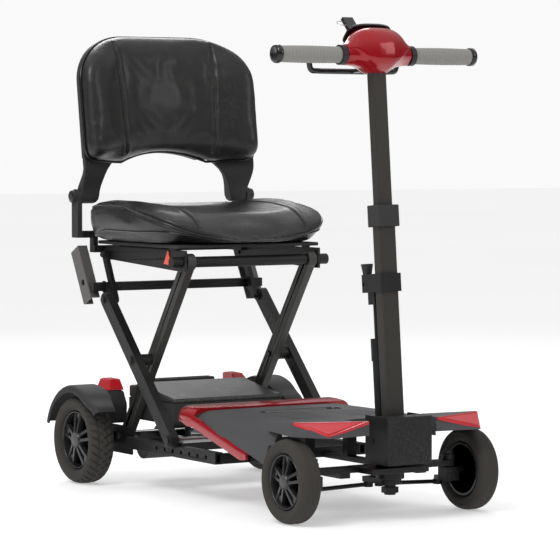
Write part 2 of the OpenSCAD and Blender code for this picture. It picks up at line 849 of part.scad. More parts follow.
module inner_arms() {
    color("#262524") place() both_sides() difference() {
        y_slab(inner_arm_y - arm_w / 2, inner_arm_out) union() {
            bar_outline([pivot_x, pivot_z], seat_pivot, arm_h / 2);
            translate(seat_pivot) circle(seat_tube_r + 7);
        }
        y_bar([pivot_x, pivot_z], pivot_r + run_fit, 0, 300);
        y_bar(seat_pivot, seat_tube_r + run_fit, 0, 300);
        y_bar(crossing, arm_pin_r + run_fit, 0, 300);
    }
}

// The outer arms carry the pins of the crossing
module outer_arms() {
    color("#3c3c3b") place() both_sides() {
        difference() {
            y_slab(outer_arm_y0, outer_arm_y1) bar_outline(roller_at, outer_top, arm_h / 2);
            y_bar(roller_at, arm_pin_r, 0, 300);
            y_bar(outer_top, arm_pin_r + run_fit, 0, 300);
        }
        y_bar(crossing, arm_pin_r, inner_arm_y - arm_w / 2 - 4, outer_arm_y0 + eps);
        y_bar(crossing, arm_pin_r + 6, inner_arm_out + side_gap, outer_arm_y0 + eps);
    }
}

module roller_shaft() {
    color("#77797c") place() {
        y_bar(roller_at, arm_pin_r, -outer_arm_y1, outer_arm_y1);
        both_sides() y_bar(roller_at, roller_r, rail_y0 + rail_t + 3, outer_arm_y0 - side_gap);
    }
}

// ---------------------------------------------------------------- seat frame

module seat_side_plates() {
    color("#222221") place() both_sides() difference() {
        y_slab(plate_y0, plate_y1) polygon([
            [link_top[0] - 16, pan_z - 4], [seat_pivot[0] + 16, pan_z - 4],
            [seat_pivot[0] + 16, seat_pivot[1] - 20], [seat_pivot[0] - 26, seat_pivot[1] - 20],
            [link_top[0] + 20, link_top[1] - 12], [link_top[0] - 16, link_top[1] - 12]
        ]);
        y_bar(seat_pivot, seat_tube_r, 0, 300);
        y_bar(link_top, arm_pin_r, 0, 300);
    }
}

rear_tube_at = [back_x + 14, pan_z - 12];
riser_y1 = hinge_y0 - 6;
hinge_foot_z = pan_z + 14;

module seat_cross_tubes() {
    color("#1e1e1d") place() {
        y_bar(seat_pivot, seat_tube_r, -(link_y1 + 12), link_y1 + 12);
        both_sides() y_bar(link_top, arm_pin_r, plate_y0 - 4, link_y1 + 0.5);
        translate([rear_tube_at[0] - 12, -riser_y1, rear_tube_at[1] - 8])
            cube([24, 2 * riser_y1, 16]);
        both_sides() {
            translate([rear_tube_at[0] - 12, riser_y1 - 12, rear_tube_at[1] - 8])
                cube([18, 12, hinge_foot_z + 16 - rear_tube_at[1] + 8]);
            translate([rear_tube_at[0] - 12, riser_y1 - 12, hinge_foot_z])
                cube([18, hinge_y1 - riser_y1 + 12.2, 16]);
        }
        both_sides() translate([rear_tube_at[0] + 12, plate_y0 - 12, rear_tube_at[1] - 8])
            cube([link_top[0] - rear_tube_at[0] + 20, 11.8, 16]);
    }
}

module seat_pan() {
    color("#191919") place() {
        translate([seat_rear + 14, -(seat_w / 2 - 40), pan_z])
            cube([seat_d - 40, seat_w - 80, 8]);
        both_sides() for (x = [seat_pivot[0] - 40, link_top[0] + 30])
            translate([x - 15, plate_y0, pan_z - 3.8]) cube([30, 6, 4]);
    }
}

module seat_cushion() {
    color("#262626") place() translate([(seat_front + seat_rear) / 2, 0, 0]) hull() {
        translate([0, 0, cushion_z0]) rounded_box(seat_d - 80, seat_w - 80, 8, 40, $fn = 32);
        translate([0, 0, cushion_z0 + 38]) rounded_box(seat_d, seat_w, 14, 50, $fn = 32);
        translate([-40, 0, cushion_z1 - 6])
            rounded_box(seat_d - 120, seat_w - 40, 6, 50, $fn = 32);
    }
}

module side_reflectors() {
    color("#e4552a") place() both_sides() y_slab(plate_y1 + 0.2, plate_y1 + 3) polygon([
        [seat_pivot[0] - 74, pan_z - 36], [seat_pivot[0] - 42, pan_z - 38], [seat_pivot[0] - 56, pan_z - 5]
    ]);
}

// Brackets that carry the backrest's hinge pins, and the knobs that lock it
module back_hinges() {
    color("#1c1c1d") place() both_sides() {
        y_slab(hinge_y1 + 0.4, hinge_y1 + 12) union() {
            translate([back_x - 15, hinge_foot_z]) square([30, back_z - hinge_foot_z]);
            translate([back_x, back_z]) circle(17);
        }
        y_bar([back_x, back_z], hinge_pin_r, hinge_y0 - 2, hinge_y1 + 1);
        y_bar([back_x, back_z], 14, hinge_y1 + 11, hinge_y1 + 21);
    }
}

// The upper right quarter of the backrest's outline, from its side to the middle
function back_corner(half, top) = [for (a = [0 : 6 : 90])
    let (y = half - corner_run * (1 - cos(a)))
    [y, top - back_crown * pow(y / half, 2) - corner_rise * (1 - sin(a))]];

module back_outline(grow) {
    half = back_w / 2 + grow;
    top = back_h + grow;
    quarter = back_corner(half, top);
    last = len(quarter) - 1;
    difference() {
        polygon(concat(
            [[-half, pad_bottom - grow], [half, pad_bottom - grow]], quarter, [[0, top]],
            [for (i = [last : -1 : 0]) [-quarter[i][0], quarter[i][1]]]
        ));
        translate([0, arch_z]) circle(arch_r - grow, $fn = 96);
    }
}

// A curved slice of the backrest between two radii
module back_slice(r0, r1) {
    back_frame() intersection() {
        rotate([90, 0, 90]) translate([0, 0, -120]) linear_extrude(260) children();
        translate([back_curve_r - 3, 0, 0]) difference() {
            cylinder(r = r1, h = back_h + 60, $fn = 128);
            translate([0, 0, -1]) cylinder(r = r0, h = back_h + 62, $fn = 128);
            translate([0, -500, -1]) cube([1000, 1000, 1000]);
        }
    }
}

module back_shell() {
    color("#1b1b1b") back_slice(back_curve_r, back_curve_r + shell_t) back_outline(0);
}

module back_cushion() {
    color("#242424") back_slice(back_curve_r - pad_t, back_curve_r - seat_gap) back_outline(-5);
}

// Legs that flare from the hinge pins up into the shell
module back_legs() {
    color("#202021") {
        back_frame() both_sides() difference() {
            y_slab(hinge_y0, hinge_y1) union() {
                circle(16);
                polygon([[-15, 0], [15, 0], [40, 44], [40, 130], [10, 130], [0, 40]]);
            }
            y_bar([0, 0], hinge_pin_r + run_fit, 0, 300);
            translate([back_curve_r - 3, 0, -50])
                cylinder(r = back_curve_r + shell_t + 0.2, h = 300, $fn = 128);
        }
        back_slice(back_curve_r + 2, back_curve_r + shell_t + 0.3) leg_outline();
    }
}

module leg_outline() {
    for (s = [-1, 1]) polygon([
        [s * 162, pad_bottom - 0.3], [s * (back_w / 2 - 2), pad_bottom - 0.3],
        [s * hinge_y1, 26], [s * (hinge_y0 - 4), 26], [s * 178, 56]
    ]);
}

// ---------------------------------------------------------------- rear carrier

module rear_links() {
    color("#1f1f1e") place() both_sides() difference() {
        y_slab(link_y0, link_y1) bar_outline(link_top, outer_top, 8.5);
        y_bar(link_top, arm_pin_r + run_fit, 0, 300);
    }
}

module cross_bar(grow) {
    half = cross_half + grow;
    reach = receiver_y1 - 4 + grow;
    translate([cross_at[0] - half, -reach, cross_at[1] - half])
        cube([2 * half, 2 * reach, 2 * half]);
}

module rear_cross_tube() {
    color("#1e1e1d") place() {
        cross_bar(0);
        both_sides() {
            y_slab(gusset_y0, gusset_y1) union() {
                bar_outline(cross_at, outer_top, 13);
            }
            y_bar(outer_top, arm_pin_r, gusset_y0, outer_arm_y1 + 3);
        }
    }
}

module armrest_receivers() {
    color("#4b4a48") place() both_sides() difference() {
        translate([receiver_at[0], 0, receiver_at[1]]) rotate([0, -receiver_lean, 0])
            difference() {
                translate([-19, receiver_y1 - 24, -46]) cube([38, 24, 132]);
                translate([-16, receiver_y1 - 25, -50]) cube([32, 21.3, 140]);
                y_bar([0, 0], receiver_hole_r, 0, 300);
            }
        cross_bar(0.2);
    }
}

// ---------------------------------------------------------------- output

right_rail();
left_rail();
frame_cross_tubes();
frame_spines();
pivot_shaft();
deck_shell();
deck_trim();
front_cover();
front_lenses();
front_axle_beam();
rear_fenders();
tail_lenses();
transaxle();
drive_motor();
battery_tray();
battery_case();
battery_lid();
battery_handle();
right_rear_tyre();
left_rear_tyre();
right_rear_rim();
left_rear_rim();
right_front_tyre();
left_front_tyre();
right_front_rim();
left_front_rim();
right_knuckle();
left_knuckle();
steering_stem();
right_tie_rod();
left_tie_rod();
tiller_yoke();
lower_tube();
tube_collar();
gas_strut();
fold_lever();
upper_tube();
console_shell();
dash_panel();
handlebar();
hand_grips();
throttle_paddle();
ignition_key();
speed_dial();
horn_button();
inner_arms();
outer_arms();
roller_shaft();
seat_side_plates();
seat_cross_tubes();
seat_pan();
seat_cushion();
side_reflectors();
back_hinges();
back_legs();
back_shell();
back_cushion();
rear_links();
rear_cross_tube();
armrest_receivers();
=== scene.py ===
"""A four-wheel folding mobility scooter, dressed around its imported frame.

Lengths are in metres. X points forward, Y to the rider's left and Z up.
"""

import json
import logging
import math
from dataclasses import dataclass, field
from enum import Enum
from typing import Callable, Iterable, Sequence

import bmesh
import bpy
import numpy as np
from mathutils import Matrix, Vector, noise
from mathutils.bvhtree import BVHTree


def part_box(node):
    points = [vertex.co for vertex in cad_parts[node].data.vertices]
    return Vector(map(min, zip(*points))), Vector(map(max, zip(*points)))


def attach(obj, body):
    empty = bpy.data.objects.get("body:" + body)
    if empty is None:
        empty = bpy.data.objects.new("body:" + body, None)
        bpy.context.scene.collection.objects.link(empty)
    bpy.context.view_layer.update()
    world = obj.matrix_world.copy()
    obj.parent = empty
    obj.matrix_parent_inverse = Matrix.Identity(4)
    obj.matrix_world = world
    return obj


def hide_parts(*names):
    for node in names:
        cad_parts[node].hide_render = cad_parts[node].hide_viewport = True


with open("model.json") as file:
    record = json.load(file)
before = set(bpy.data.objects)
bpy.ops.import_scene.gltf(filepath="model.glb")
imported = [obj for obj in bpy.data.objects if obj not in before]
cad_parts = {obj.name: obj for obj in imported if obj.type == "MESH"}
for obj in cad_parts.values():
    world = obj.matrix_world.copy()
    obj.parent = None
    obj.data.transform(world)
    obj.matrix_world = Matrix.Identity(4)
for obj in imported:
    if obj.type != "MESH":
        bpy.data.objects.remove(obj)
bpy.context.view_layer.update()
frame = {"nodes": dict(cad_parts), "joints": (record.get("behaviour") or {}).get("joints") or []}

LOG = logging.getLogger("scooter")
MM = 0.001
TAU = 2 * math.pi
Colour = tuple[float, float, float]
Points = np.ndarray
JOINTS = {joint["name"]: joint for joint in frame["joints"]}


class Side(Enum):
    """The two sides of the scooter, by the sign of Y."""

    RIGHT = -1
    LEFT = 1

    @property
    def word(self) -> str:
        """The side's name in lower case."""
        return self.name.lower()


# ------------------------------------------------------------------ shader graph


class Wire:
    """One value in a shader graph. Arithmetic on it adds Math nodes."""

    def __init__(self, graph: "Graph", socket: bpy.types.NodeSocket) -> None:
        """Keeps the graph and the output socket.

        Args:
            graph: The graph that the socket belongs to.
            socket: The output socket.
        """
        self.graph = graph
        self.socket = socket

    def _math(self, operation: str, first: "Wire | float", second: "Wire | float") -> "Wire":
        """Adds one Math node.

        Args:
            operation: The Math node's operation.
            first: The first operand.
            second: The second operand.

        Returns:
            The result.
        """
        settings = {"operation": operation}
        return self.graph.node("ShaderNodeMath", settings, {0: first, 1: second})

    def __add__(self, other: "Wire | float") -> "Wire":
        """self + other."""
        return self._math("ADD", self, other)

    def __radd__(self, other: float) -> "Wire":
        """other + self."""
        return self._math("ADD", other, self)

    def __sub__(self, other: "Wire | float") -> "Wire":
        """self - other."""
        return self._math("SUBTRACT", self, other)

    def __rsub__(self, other: float) -> "Wire":
        """other - self."""
        return self._math("SUBTRACT", other, self)

    def __mul__(self, other: "Wire | float") -> "Wire":
        """self * other."""
        return self._math("MULTIPLY", self, other)

    def __rmul__(self, other: float) -> "Wire":
        """other * self."""
        return self._math("MULTIPLY", other, self)

    def __pow__(self, other: float) -> "Wire":
        """self ** other."""
        return self._math("POWER", self, other)

    def over(self, low: float, high: float) -> "Wire":
        """0 below low, 1 above high and smooth between.

        Args:
            low: The value that gives 0.
            high: The value that gives 1.

        Returns:
            The eased value.
        """
        settings = {"interpolation_type": "SMOOTHSTEP"}
        return self.graph.node("ShaderNodeMapRange", settings, {0: self, 1: low, 2: high})


class Graph:
    """A material's node tree with a Principled shader at its end."""

    def __init__(self, name: str) -> None:
        """Makes the material.

        Args:
            name: The material's name.
        """
        self.material = bpy.data.materials.new(name)
        self.material.use_nodes = True
        self.tree = self.material.node_tree
        self.shader = self.tree.nodes["Principled BSDF"]

    def node(self, kind: str, settings: dict, sockets: dict, output: int | str = 0) -> Wire:
        """Adds one node.

        Args:
            kind: The node's type.
            settings: Properties that are set first.
            sockets: Values or wires for the node's inputs, by name or number.
            output: The output to return.

        Returns:
            The node's output.
        """
        made = self.tree.nodes.new(kind)
        for name, value in settings.items():
            setattr(made, name, value)
        for name, value in sockets.items():
            if isinstance(value, Wire):
                self.tree.links.new(value.socket, made.inputs[name])
            else:
                made.inputs[name].default_value = value
        return Wire(self, made.outputs[output])

    def place(self, stretch: Sequence[float] = (1, 1, 1)) -> Wire:
        """The point's place in the row frame, stretched along the axes.

        Args:
            stretch: The scale along each axis.

        Returns:
            The coordinates.
        """
        where = self.node("ShaderNodeTexCoord", {}, {}, "Object")
        return self.node("ShaderNodeMapping", {}, {"Vector": where, "Scale": tuple(stretch)})

    def noise(self, scale: float, detail: float = 3,
              stretch: Sequence[float] = (1, 1, 1)) -> Wire:
        """Soft noise between 0 and 1.

        Args:
            scale: Features per metre.
            detail: The number of finer layers.
            stretch: The scale along each axis.

        Returns:
            The noise.
        """
        sockets = {"Vector": self.place(stretch), "Scale": scale, "Detail": detail}
        return self.node("ShaderNodeTexNoise", {}, sockets, "Fac")

    def cells(self, scale: float, feature: str = "DISTANCE_TO_EDGE") -> Wire:
        """Distances in a cell pattern.

        Args:
            scale: Cells per metre.
            feature: What the Voronoi node measures.

        Returns:
            The distance.
        """
        sockets = {"Vector": self.place(), "Scale": scale}
        return self.node("ShaderNodeTexVoronoi", {"feature": feature}, sockets, "Distance")

    def tint(self, share: Wire, low: Colour | Wire, high: Colour) -> Wire:
        """A colour between two others.

        Args:
            share: 0 for low and 1 for high.
            low: The first colour.
            high: The second colour.

        Returns:
            The mixed colour.
        """
        first = low if isinstance(low, Wire) else (*low, 1)
        sockets = {0: share, 6: first, 7: (*high, 1)}
        return self.node("ShaderNodeMix", {"data_type": "RGBA"}, sockets, 2)

    def bump(self, height: Wire, depth: float, below: Wire | None = None) -> Wire:
        """A bumped normal.

        Args:
            height: The height, about 0 to 1.
            depth: The depth in metres of a height of 1.
            below: A normal to build on.

        Returns:
            The normal.
        """
        sockets = {"Height": height, "Distance": depth, "Strength": 1.0}
        if below:
            sockets["Normal"] = below
        return self.node("ShaderNodeBump", {}, sockets)

    def edges(self) -> Wire:
        """1 on sharp outer edges and 0 elsewhere, broken up by noise."""
        point = self.node("ShaderNodeNewGeometry", {}, {}, "Pointiness")
        return point.over(0.53, 0.6) * self.noise(160).over(0.42, 0.62)

    def finish(self, **sockets: "Wire | float | Colour") -> bpy.types.Material:
        """Fills the shader's sockets.

        Args:
            sockets: Values or wires; an underscore in a name stands for a space.

        Returns:
            The material.
        """
        for key, value in sockets.items():
            target = self.shader.inputs[key.replace("_", " ")]
            if isinstance(value, Wire):
                self.tree.links.new(value.socket, target)
            else:
                target.default_value = (*value, 1) if isinstance(value, tuple) else value
        return self.material


# ------------------------------------------------------------------ finishes


@dataclass(frozen=True)
class Finish:
    """What a surface is made of. Each kind says how its material is built."""

    name: str
    slot: str
    colour: Colour
    roughness: float = 0.4

    def build(self, graph: Graph) -> bpy.types.Material:
        """Builds the material.

        Args:
            graph: The graph to fill.

        Returns:
            The material.
        """
        raise NotImplementedError

    def lighter(self, share: float) -> Colour:
        """The colour scaled by a share."""
        return tuple(min(1.0, channel * share) for channel in self.colour)

    def material(self) -> bpy.types.Material:
        """The finish's material, made once."""
        return bpy.data.materials.get(self.name) or self.build(Graph(self.name))

    def dress(self, piece: bpy.types.Object) -> bpy.types.Object:
        """Gives a piece this finish.

        Args:
            piece: The object to dress.

        Returns:
            The piece.
        """
        piece.data.materials.clear()
        piece.data.materials.append(self.material())
        return piece


@dataclass(frozen=True)
class Leatherette(Finish):
    """Embossed upholstery with a fine pebble grain and soft creases."""

    grain: float = 620.0

    def build(self, graph: Graph) -> bpy.types.Material:
        """Builds the material (see Finish.build)."""
        pebble = graph.cells(self.grain).over(0.0, 0.32)
        crease = graph.noise(26, 4, (1, 1, 1.7))
        fine = graph.noise(1500, 2)
        normal = graph.bump(crease, 0.0016)
        normal = graph.bump(pebble + 0.35 * fine, 0.00016, normal)
        rub = graph.noise(9, 3).over(0.35, 0.75)
        colour = graph.tint(0.7 * rub + 0.3 * (1 - pebble), self.colour, self.lighter(1.8))
        return graph.finish(
            Base_Color=colour, Roughness=self.roughness + 0.12 * rub + 0.08 * (1 - pebble),
            Normal=normal, Coat_Weight=0.3 - 0.12 * rub, Coat_Roughness=0.2,
            Specular_IOR_Level=0.35)


@dataclass(frozen=True)
class Moulding(Finish):
    """Moulded plastic with a spark-eroded grain and handling marks."""

    grain: float = 900.0
    depth: float = 0.00012
    coat: float = 0.0

    def build(self, graph: Graph) -> bpy.types.Material:
        """Builds the material (see Finish.build)."""
        grain = graph.noise(self.grain, 4)
        cloud = graph.noise(7, 4).over(0.3, 0.72)
        marks = graph.noise(46, 6, (0.25, 1, 3)).over(0.55, 0.72)
        colour = graph.tint(cloud * 0.6 + 0.4 * grain, self.lighter(0.82), self.lighter(1.22))
        colour = graph.tint(graph.edges() * 0.5, colour, self.lighter(2.2))
        return graph.finish(
            Base_Color=colour, Roughness=self.roughness + 0.09 * cloud - 0.07 * marks,
            Normal=graph.bump(grain, self.depth), Coat_Weight=self.coat, Coat_Roughness=0.2,
            Specular_IOR_Level=0.24)


@dataclass(frozen=True)
class Lacquer(Finish):
    """Deep gloss lacquer over a fine metallic base."""

    flake: float = 2600.0

    def build(self, graph: Graph) -> bpy.types.Material:
        """Builds the material (see Finish.build)."""
        flake = graph.cells(self.flake, "F1").over(0.2, 0.75)
        depth = graph.noise(5, 3).over(0.3, 0.7)
        colour = graph.tint(0.5 * flake + 0.5 * depth, self.lighter(0.72), self.lighter(1.25))
        ripple = graph.noise(60, 2)
        return graph.finish(
            Base_Color=colour, Roughness=self.roughness + 0.05 * depth, Metallic=0.35 * flake,
            Normal=graph.bump(ripple, 0.00006), Coat_Weight=0.55, Coat_Roughness=0.05,
            Specular_IOR_Level=0.25)


@dataclass(frozen=True)
class Lens(Finish):
    """A clear coloured cover over a grid of small prisms."""

    pitch: float = 240.0

    def build(self, graph: Graph) -> bpy.types.Material:
        """Builds the material (see Finish.build)."""
        prism = graph.cells(self.pitch, "F1")
        glow = graph.noise(14, 3).over(0.3, 0.7)
        colour = graph.tint(prism.over(0.1, 0.7), self.lighter(1.12), self.lighter(0.8))
        return graph.finish(
            Base_Color=colour, Roughness=self.roughness + 0.05 * glow,
            Normal=graph.bump(prism, 0.0002), Coat_Weight=0.6, Coat_Roughness=0.05,
            Specular_IOR_Level=0.25)


@dataclass(frozen=True)
class PaintedSteel(Finish):
    """Baked paint with orange peel, scuffs and bare metal on the edges."""

    peel: float = 420.0
    metal: Colour = (0.10, 0.096, 0.092)

    def build(self, graph: Graph) -> bpy.types.Material:
        """Builds the material (see Finish.build)."""
        peel = graph.noise(self.peel, 2)
        cloud = graph.noise(12, 5).over(0.32, 0.7)
        scuff = graph.noise(70, 8, (1, 0.3, 0.4)).over(0.64, 0.76)
        worn = graph.edges()
        colour = graph.tint(cloud, self.lighter(0.8), self.lighter(1.3))
        colour = graph.tint(0.5 * worn + 0.05 * scuff, colour, self.metal)
        return graph.finish(
            Base_Color=colour, Roughness=self.roughness + 0.1 * cloud + 0.12 * scuff,
            Metallic=0.7 * worn, Normal=graph.bump(peel, 0.00008), Specular_IOR_Level=0.24)


@dataclass(frozen=True)
class TurnedSteel(Finish):
    """Bare steel with fine turning marks."""

    def build(self, graph: Graph) -> bpy.types.Material:
        """Builds the material (see Finish.build)."""
        lines = graph.noise(260, 4, (1, 14, 1))
        tone = graph.noise(30, 3)
        colour = graph.tint(tone, self.lighter(0.7), self.lighter(1.15))
        return graph.finish(
            Base_Color=colour, Roughness=self.roughness + 0.18 * lines, Metallic=1.0,
            Normal=graph.bump(lines, 0.00004))


@dataclass(frozen=True)
class Rubber(Finish):
    """Rubber with a bloom of dust and a slightly rough skin."""

    dust: Colour = (0.16, 0.14, 0.12)

    def build(self, graph: Graph) -> bpy.types.Material:
        """Builds the material (see Finish.build)."""
        skin = graph.noise(900, 4)
        bloom = graph.noise(34, 6).over(0.42, 0.75)
        broad = graph.noise(10, 3)
        colour = graph.tint(0.35 * bloom + 0.12 * broad, self.colour, self.dust)
        return graph.finish(
            Base_Color=colour, Roughness=self.roughness + 0.16 * bloom,
            Normal=graph.bump(skin + 0.5 * bloom, 0.00018), Specular_IOR_Level=0.16)


LEATHER = Leatherette("black_leatherette", "leatherette", (0.0068, 0.0064, 0.0061), 0.25)
PIPING = Moulding("black_piping", "leatherette", (0.008, 0.008, 0.008), 0.22, 700, 0.00005, 0.5)
THREAD = Rubber("grey_thread", "leatherette", (0.03, 0.029, 0.028), 0.5)
BLACK_PLASTIC = Moulding("black_plastic", "black_plastic", (0.012, 0.012, 0.0125), 0.38)
GLOSSY_BLACK = Moulding(
    "glossy_black", "black_plastic", (0.008, 0.008, 0.008), 0.2, 500, 0.00004, 0.5)
DECK_PLASTIC = Moulding(
    "deck_plastic", "deck_plastic", (0.024, 0.0245, 0.0255), 0.40, 700, 0.0001)
LID_PLASTIC = Moulding("lid_plastic", "grey_plastic", (0.040, 0.040, 0.039), 0.38, 900, 0.0001)
RED_LACQUER = Lacquer("red_lacquer", "red_gloss", (0.30, 0.0020, 0.0075), 0.2)
RED_LENS = Lens("red_lens", "red_lens", (0.33, 0.0022, 0.0085), 0.14)
AMBER = Lens("amber_button", "horn_amber", (0.5, 0.22, 0.02), 0.2, 500)
ORANGE_REFLECTOR = Lens("orange_reflector", "reflector_orange", (0.86, 0.075, 0.012), 0.2, 420)
FRAME_PAINT = PaintedSteel("frame_paint", "black_frame_paint", (0.011, 0.011, 0.0115), 0.34)
ARM_PAINT = PaintedSteel("arm_paint", "arm_paint", (0.0105, 0.0095, 0.009), 0.32)
OUTER_ARM_PAINT = PaintedSteel("outer_arm_paint", "arm_paint", (0.015, 0.0143, 0.0138), 0.34)
TUBE_PAINT = PaintedSteel("tube_paint", "tube_paint", (0.0165, 0.0132, 0.0118), 0.34)
RECEIVER_PAINT = PaintedSteel("receiver_paint", "receiver_paint", (0.030, 0.029, 0.0285), 0.36)
BAR_BLACK = PaintedSteel("bar_black", "bar_black", (0.008, 0.008, 0.008), 0.2)
CASTING = PaintedSteel("drive_casting", "drive_casting", (0.03, 0.03, 0.031), 0.5, 180)
STEEL = TurnedSteel("turned_steel", "bright_steel", (0.5, 0.5, 0.51), 0.28)
TYRE = Rubber(
    "tyre_rubber", "tyre_rubber", (0.0105, 0.0098, 0.0094), 0.5, (0.024, 0.0222, 0.021))
RIM_BLACK = Moulding("rim_black", "rim_black", (0.011, 0.0105, 0.0102), 0.40, 700, 0.00008)
GRIP = Rubber("grip_rubber", "grip_rubber", (0.085, 0.079, 0.074), 0.62, (0.14, 0.13, 0.122))


# ------------------------------------------------------------------ mesh tools


def publish(name: str, verts: Iterable, faces: Iterable, finish: Finish, body: str,
            stands_for: Sequence[str] = (), smooth: float = 40.0) -> bpy.types.Object:
    """Makes a mesh object, dresses it and puts it on its body.

    Args:
        name: The piece's name.
        verts: Points in the row frame.
        faces: Corner numbers of each face.
        finish: The piece's finish.
        body: The CAD body that it rides on.
        stands_for: CAD nodes that it replaces.
        smooth: Edges flatter than this many degrees are shaded smooth.

    Returns:
        The object.
    """
    mesh = bpy.data.meshes.new(name)
    mesh.from_pydata([tuple(map(float, v)) for v in verts], [],
                     [tuple(map(int, f)) for f in faces])
    mesh.validate()
    outward(mesh)
    piece = bpy.data.objects.new(name, mesh)
    bpy.context.scene.collection.objects.link(piece)
    mesh.shade_smooth()
    mesh.set_sharp_from_angle(angle=math.radians(smooth))
    finish.dress(piece)
    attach(piece, body)
    if stands_for:
        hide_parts(*stands_for)
    return piece


def outward(mesh: bpy.types.Mesh) -> None:
    """Turns every face of a mesh outward."""
    work = bmesh.new()
    work.from_mesh(mesh)
    bmesh.ops.recalc_face_normals(work, faces=work.faces)
    work.to_mesh(mesh)
    work.free()


def lattice(points: Points, wrap_rows: bool, wrap_cols: bool,
            caps: bool) -> tuple[Points, list]:
    """Quads over a grid of points.

    Args:
        points: An array of rows, columns and coordinates.
        wrap_rows: Whether the last row joins the first.
        wrap_cols: Whether the last column joins the first.
        caps: Whether the first and last rows are closed by one face each.

    Returns:
        The points as a list and the faces.
    """
    rows, cols = points.shape[:2]
    faces = []
    for i in range(rows if wrap_rows else rows - 1):
        for j in range(cols if wrap_cols else cols - 1):
            below, right = (i + 1) % rows, (j + 1) % cols
            faces.append((i * cols + j, i * cols + right,
                          below * cols + right, below * cols + j))
    if caps:
        faces.append(tuple(range(cols)))
        faces.append(tuple(reversed(range((rows - 1) * cols, rows * cols))))
    return points.reshape(-1, 3), faces


def merge(*parts: tuple[Points, list]) -> tuple[Points, list]:
    """Joins several sets of points and faces into one."""
    verts, faces, start = [], [], 0
    for points, polygons in parts:
        verts.append(np.asarray(points, float).reshape(-1, 3))
        faces += [tuple(k + start for k in polygon) for polygon in polygons]
        start += len(verts[-1])
    return np.concatenate(verts), faces


def lathe(profile: Sequence[tuple[float, float]], centre: Vector, steps: int = 96,
          side: float = 1.0) -> tuple[Points, list]:
    """Turns a profile about the Y axis through a point.

    Args:
        profile: Pairs of radius and distance along Y.
        centre: A point on the axis.
        steps: Segments round the axis.
        side: The sign that Y distances are multiplied by.

    Returns:
        Points and faces.
    """
    turn = np.linspace(0, TAU, steps, endpoint=False)
    grid = np.zeros((len(profile), steps, 3))
    for row, (radius, along) in enumerate(profile):
        grid[row, :, 0] = centre[0] + radius * np.sin(turn)
        grid[row, :, 1] = centre[1] + side * along
        grid[row, :, 2] = centre[2] + radius * np.cos(turn)
    return lattice(grid, False, True, True)


def sweep(path: Sequence[Vector], radius: float | tuple[float, float], sides: int = 12,
          closed: bool = False, flat: Vector | None = None) -> tuple[Points, list]:
    """A tube along a path.

    Args:
        path: The centre line.
        radius: The tube's radius, or its two half widths.
        sides: Points round the tube.
        closed: Whether the path is a loop.
        flat: The direction of the second half width.

    Returns:
        Points and faces.
    """
    line = np.array([tuple(p) for p in path], float)
    count = len(line)
    grid = np.zeros((count, sides, 3))
    turn = np.linspace(0, TAU, sides, endpoint=False)
    wide, high = radius if isinstance(radius, tuple) else (radius, radius)
    normal = None
    for i in range(count):
        ahead = line[(i + 1) % count] if closed else line[min(i + 1, count - 1)]
        behind = line[i - 1] if closed or i else line[0]
        along = Vector(ahead - behind).normalized()
        if flat is not None:
            normal = flat
        elif normal is None:
            normal = Vector((0, 0, 1)) if abs(along.z) < 0.9 else Vector((1, 0, 0))
        across = along.cross(normal).normalized()
        up = across.cross(along).normalized()
        normal = up if flat is None else normal
        grid[i] = (line[i] + np.outer(np.cos(turn) * wide, across)
                   + np.outer(np.sin(turn) * high, up))
    return lattice(grid, closed, True, not closed)


def smooth_path(points: Sequence[Vector], steps: int = 8) -> list[Vector]:
    """A smooth curve through points.

    Args:
        points: The points to pass through.
        steps: Pieces between two points.

    Returns:
        Points along the curve.
    """
    last = len(points) - 1
    path = []
    for i in range(last):
        p0, p1, p2, p3 = (points[min(max(i + k, 0), last)] for k in (-1, 0, 1, 2))
        for k in range(steps):
            t = k / steps
            path.append(0.5 * (2 * p1 + (p2 - p0) * t + (2 * p0 - 5 * p1 + 4 * p2 - p3) * t * t
                               + (3 * p1 - p0 - 3 * p2 + p3) * t ** 3))
    path.append(points[-1].copy())
    return path


def prism(outline: Sequence[tuple[float, float]], y0: float, y1: float) -> tuple[Points, list]:
    """An outline in X and Z, made solid between two Y planes.

    Args:
        outline: Pairs of X and Z.
        y0: The first plane.
        y1: The second plane.

    Returns:
        Points and faces.
    """
    grid = np.array([[(x, y, z) for x, z in outline] for y in (y0, y1)])
    return lattice(grid, False, True, True)


def block(low: Sequence[float], high: Sequence[float]) -> tuple[Points, list]:
    """A box between two corners."""
    outline = [(low[0], low[2]), (high[0], low[2]), (high[0], high[2]), (low[0], high[2])]
    return prism(outline, low[1], high[1])


def soften(piece: bpy.types.Object, width: float, segments: int = 3,
           angle: float = 32.0) -> None:
    """Rounds a piece's sharp edges with modifiers.

    Args:
        piece: The object.
        width: The rounding in metres.
        segments: Steps across the rounding.
        angle: Edges sharper than this many degrees are rounded.
    """
    weld = piece.modifiers.new("weld", "WELD")
    weld.merge_threshold = 0.00002
    bevel = piece.modifiers.new("round", "BEVEL")
    bevel.width = width
    bevel.segments = segments
    bevel.limit_method = "ANGLE"
    bevel.angle_limit = math.radians(angle)
    bevel.use_clamp_overlap = True
    bevel.miter_outer = "MITER_ARC"
    shade = piece.modifiers.new("shade", "WEIGHTED_NORMAL")
    shade.keep_sharp = False
    shade.weight = 90


def ease(low: float, high: float, value: float) -> float:
    """0 below low, 1 above high and smooth between."""
    t = min(1.0, max(0.0, (value - low) / (high - low)))
    return t * t * (3 - 2 * t)


def rounded(value: float, power: float) -> float:
    """A sine or cosine raised to a power with its sign kept, for a superellipse."""
    return math.copysign(abs(value) ** power, value)


def pivot(joint: str) -> Vector:
    """The place of a hinge in the row frame."""
    return Vector(JOINTS[joint]["pos_m"])


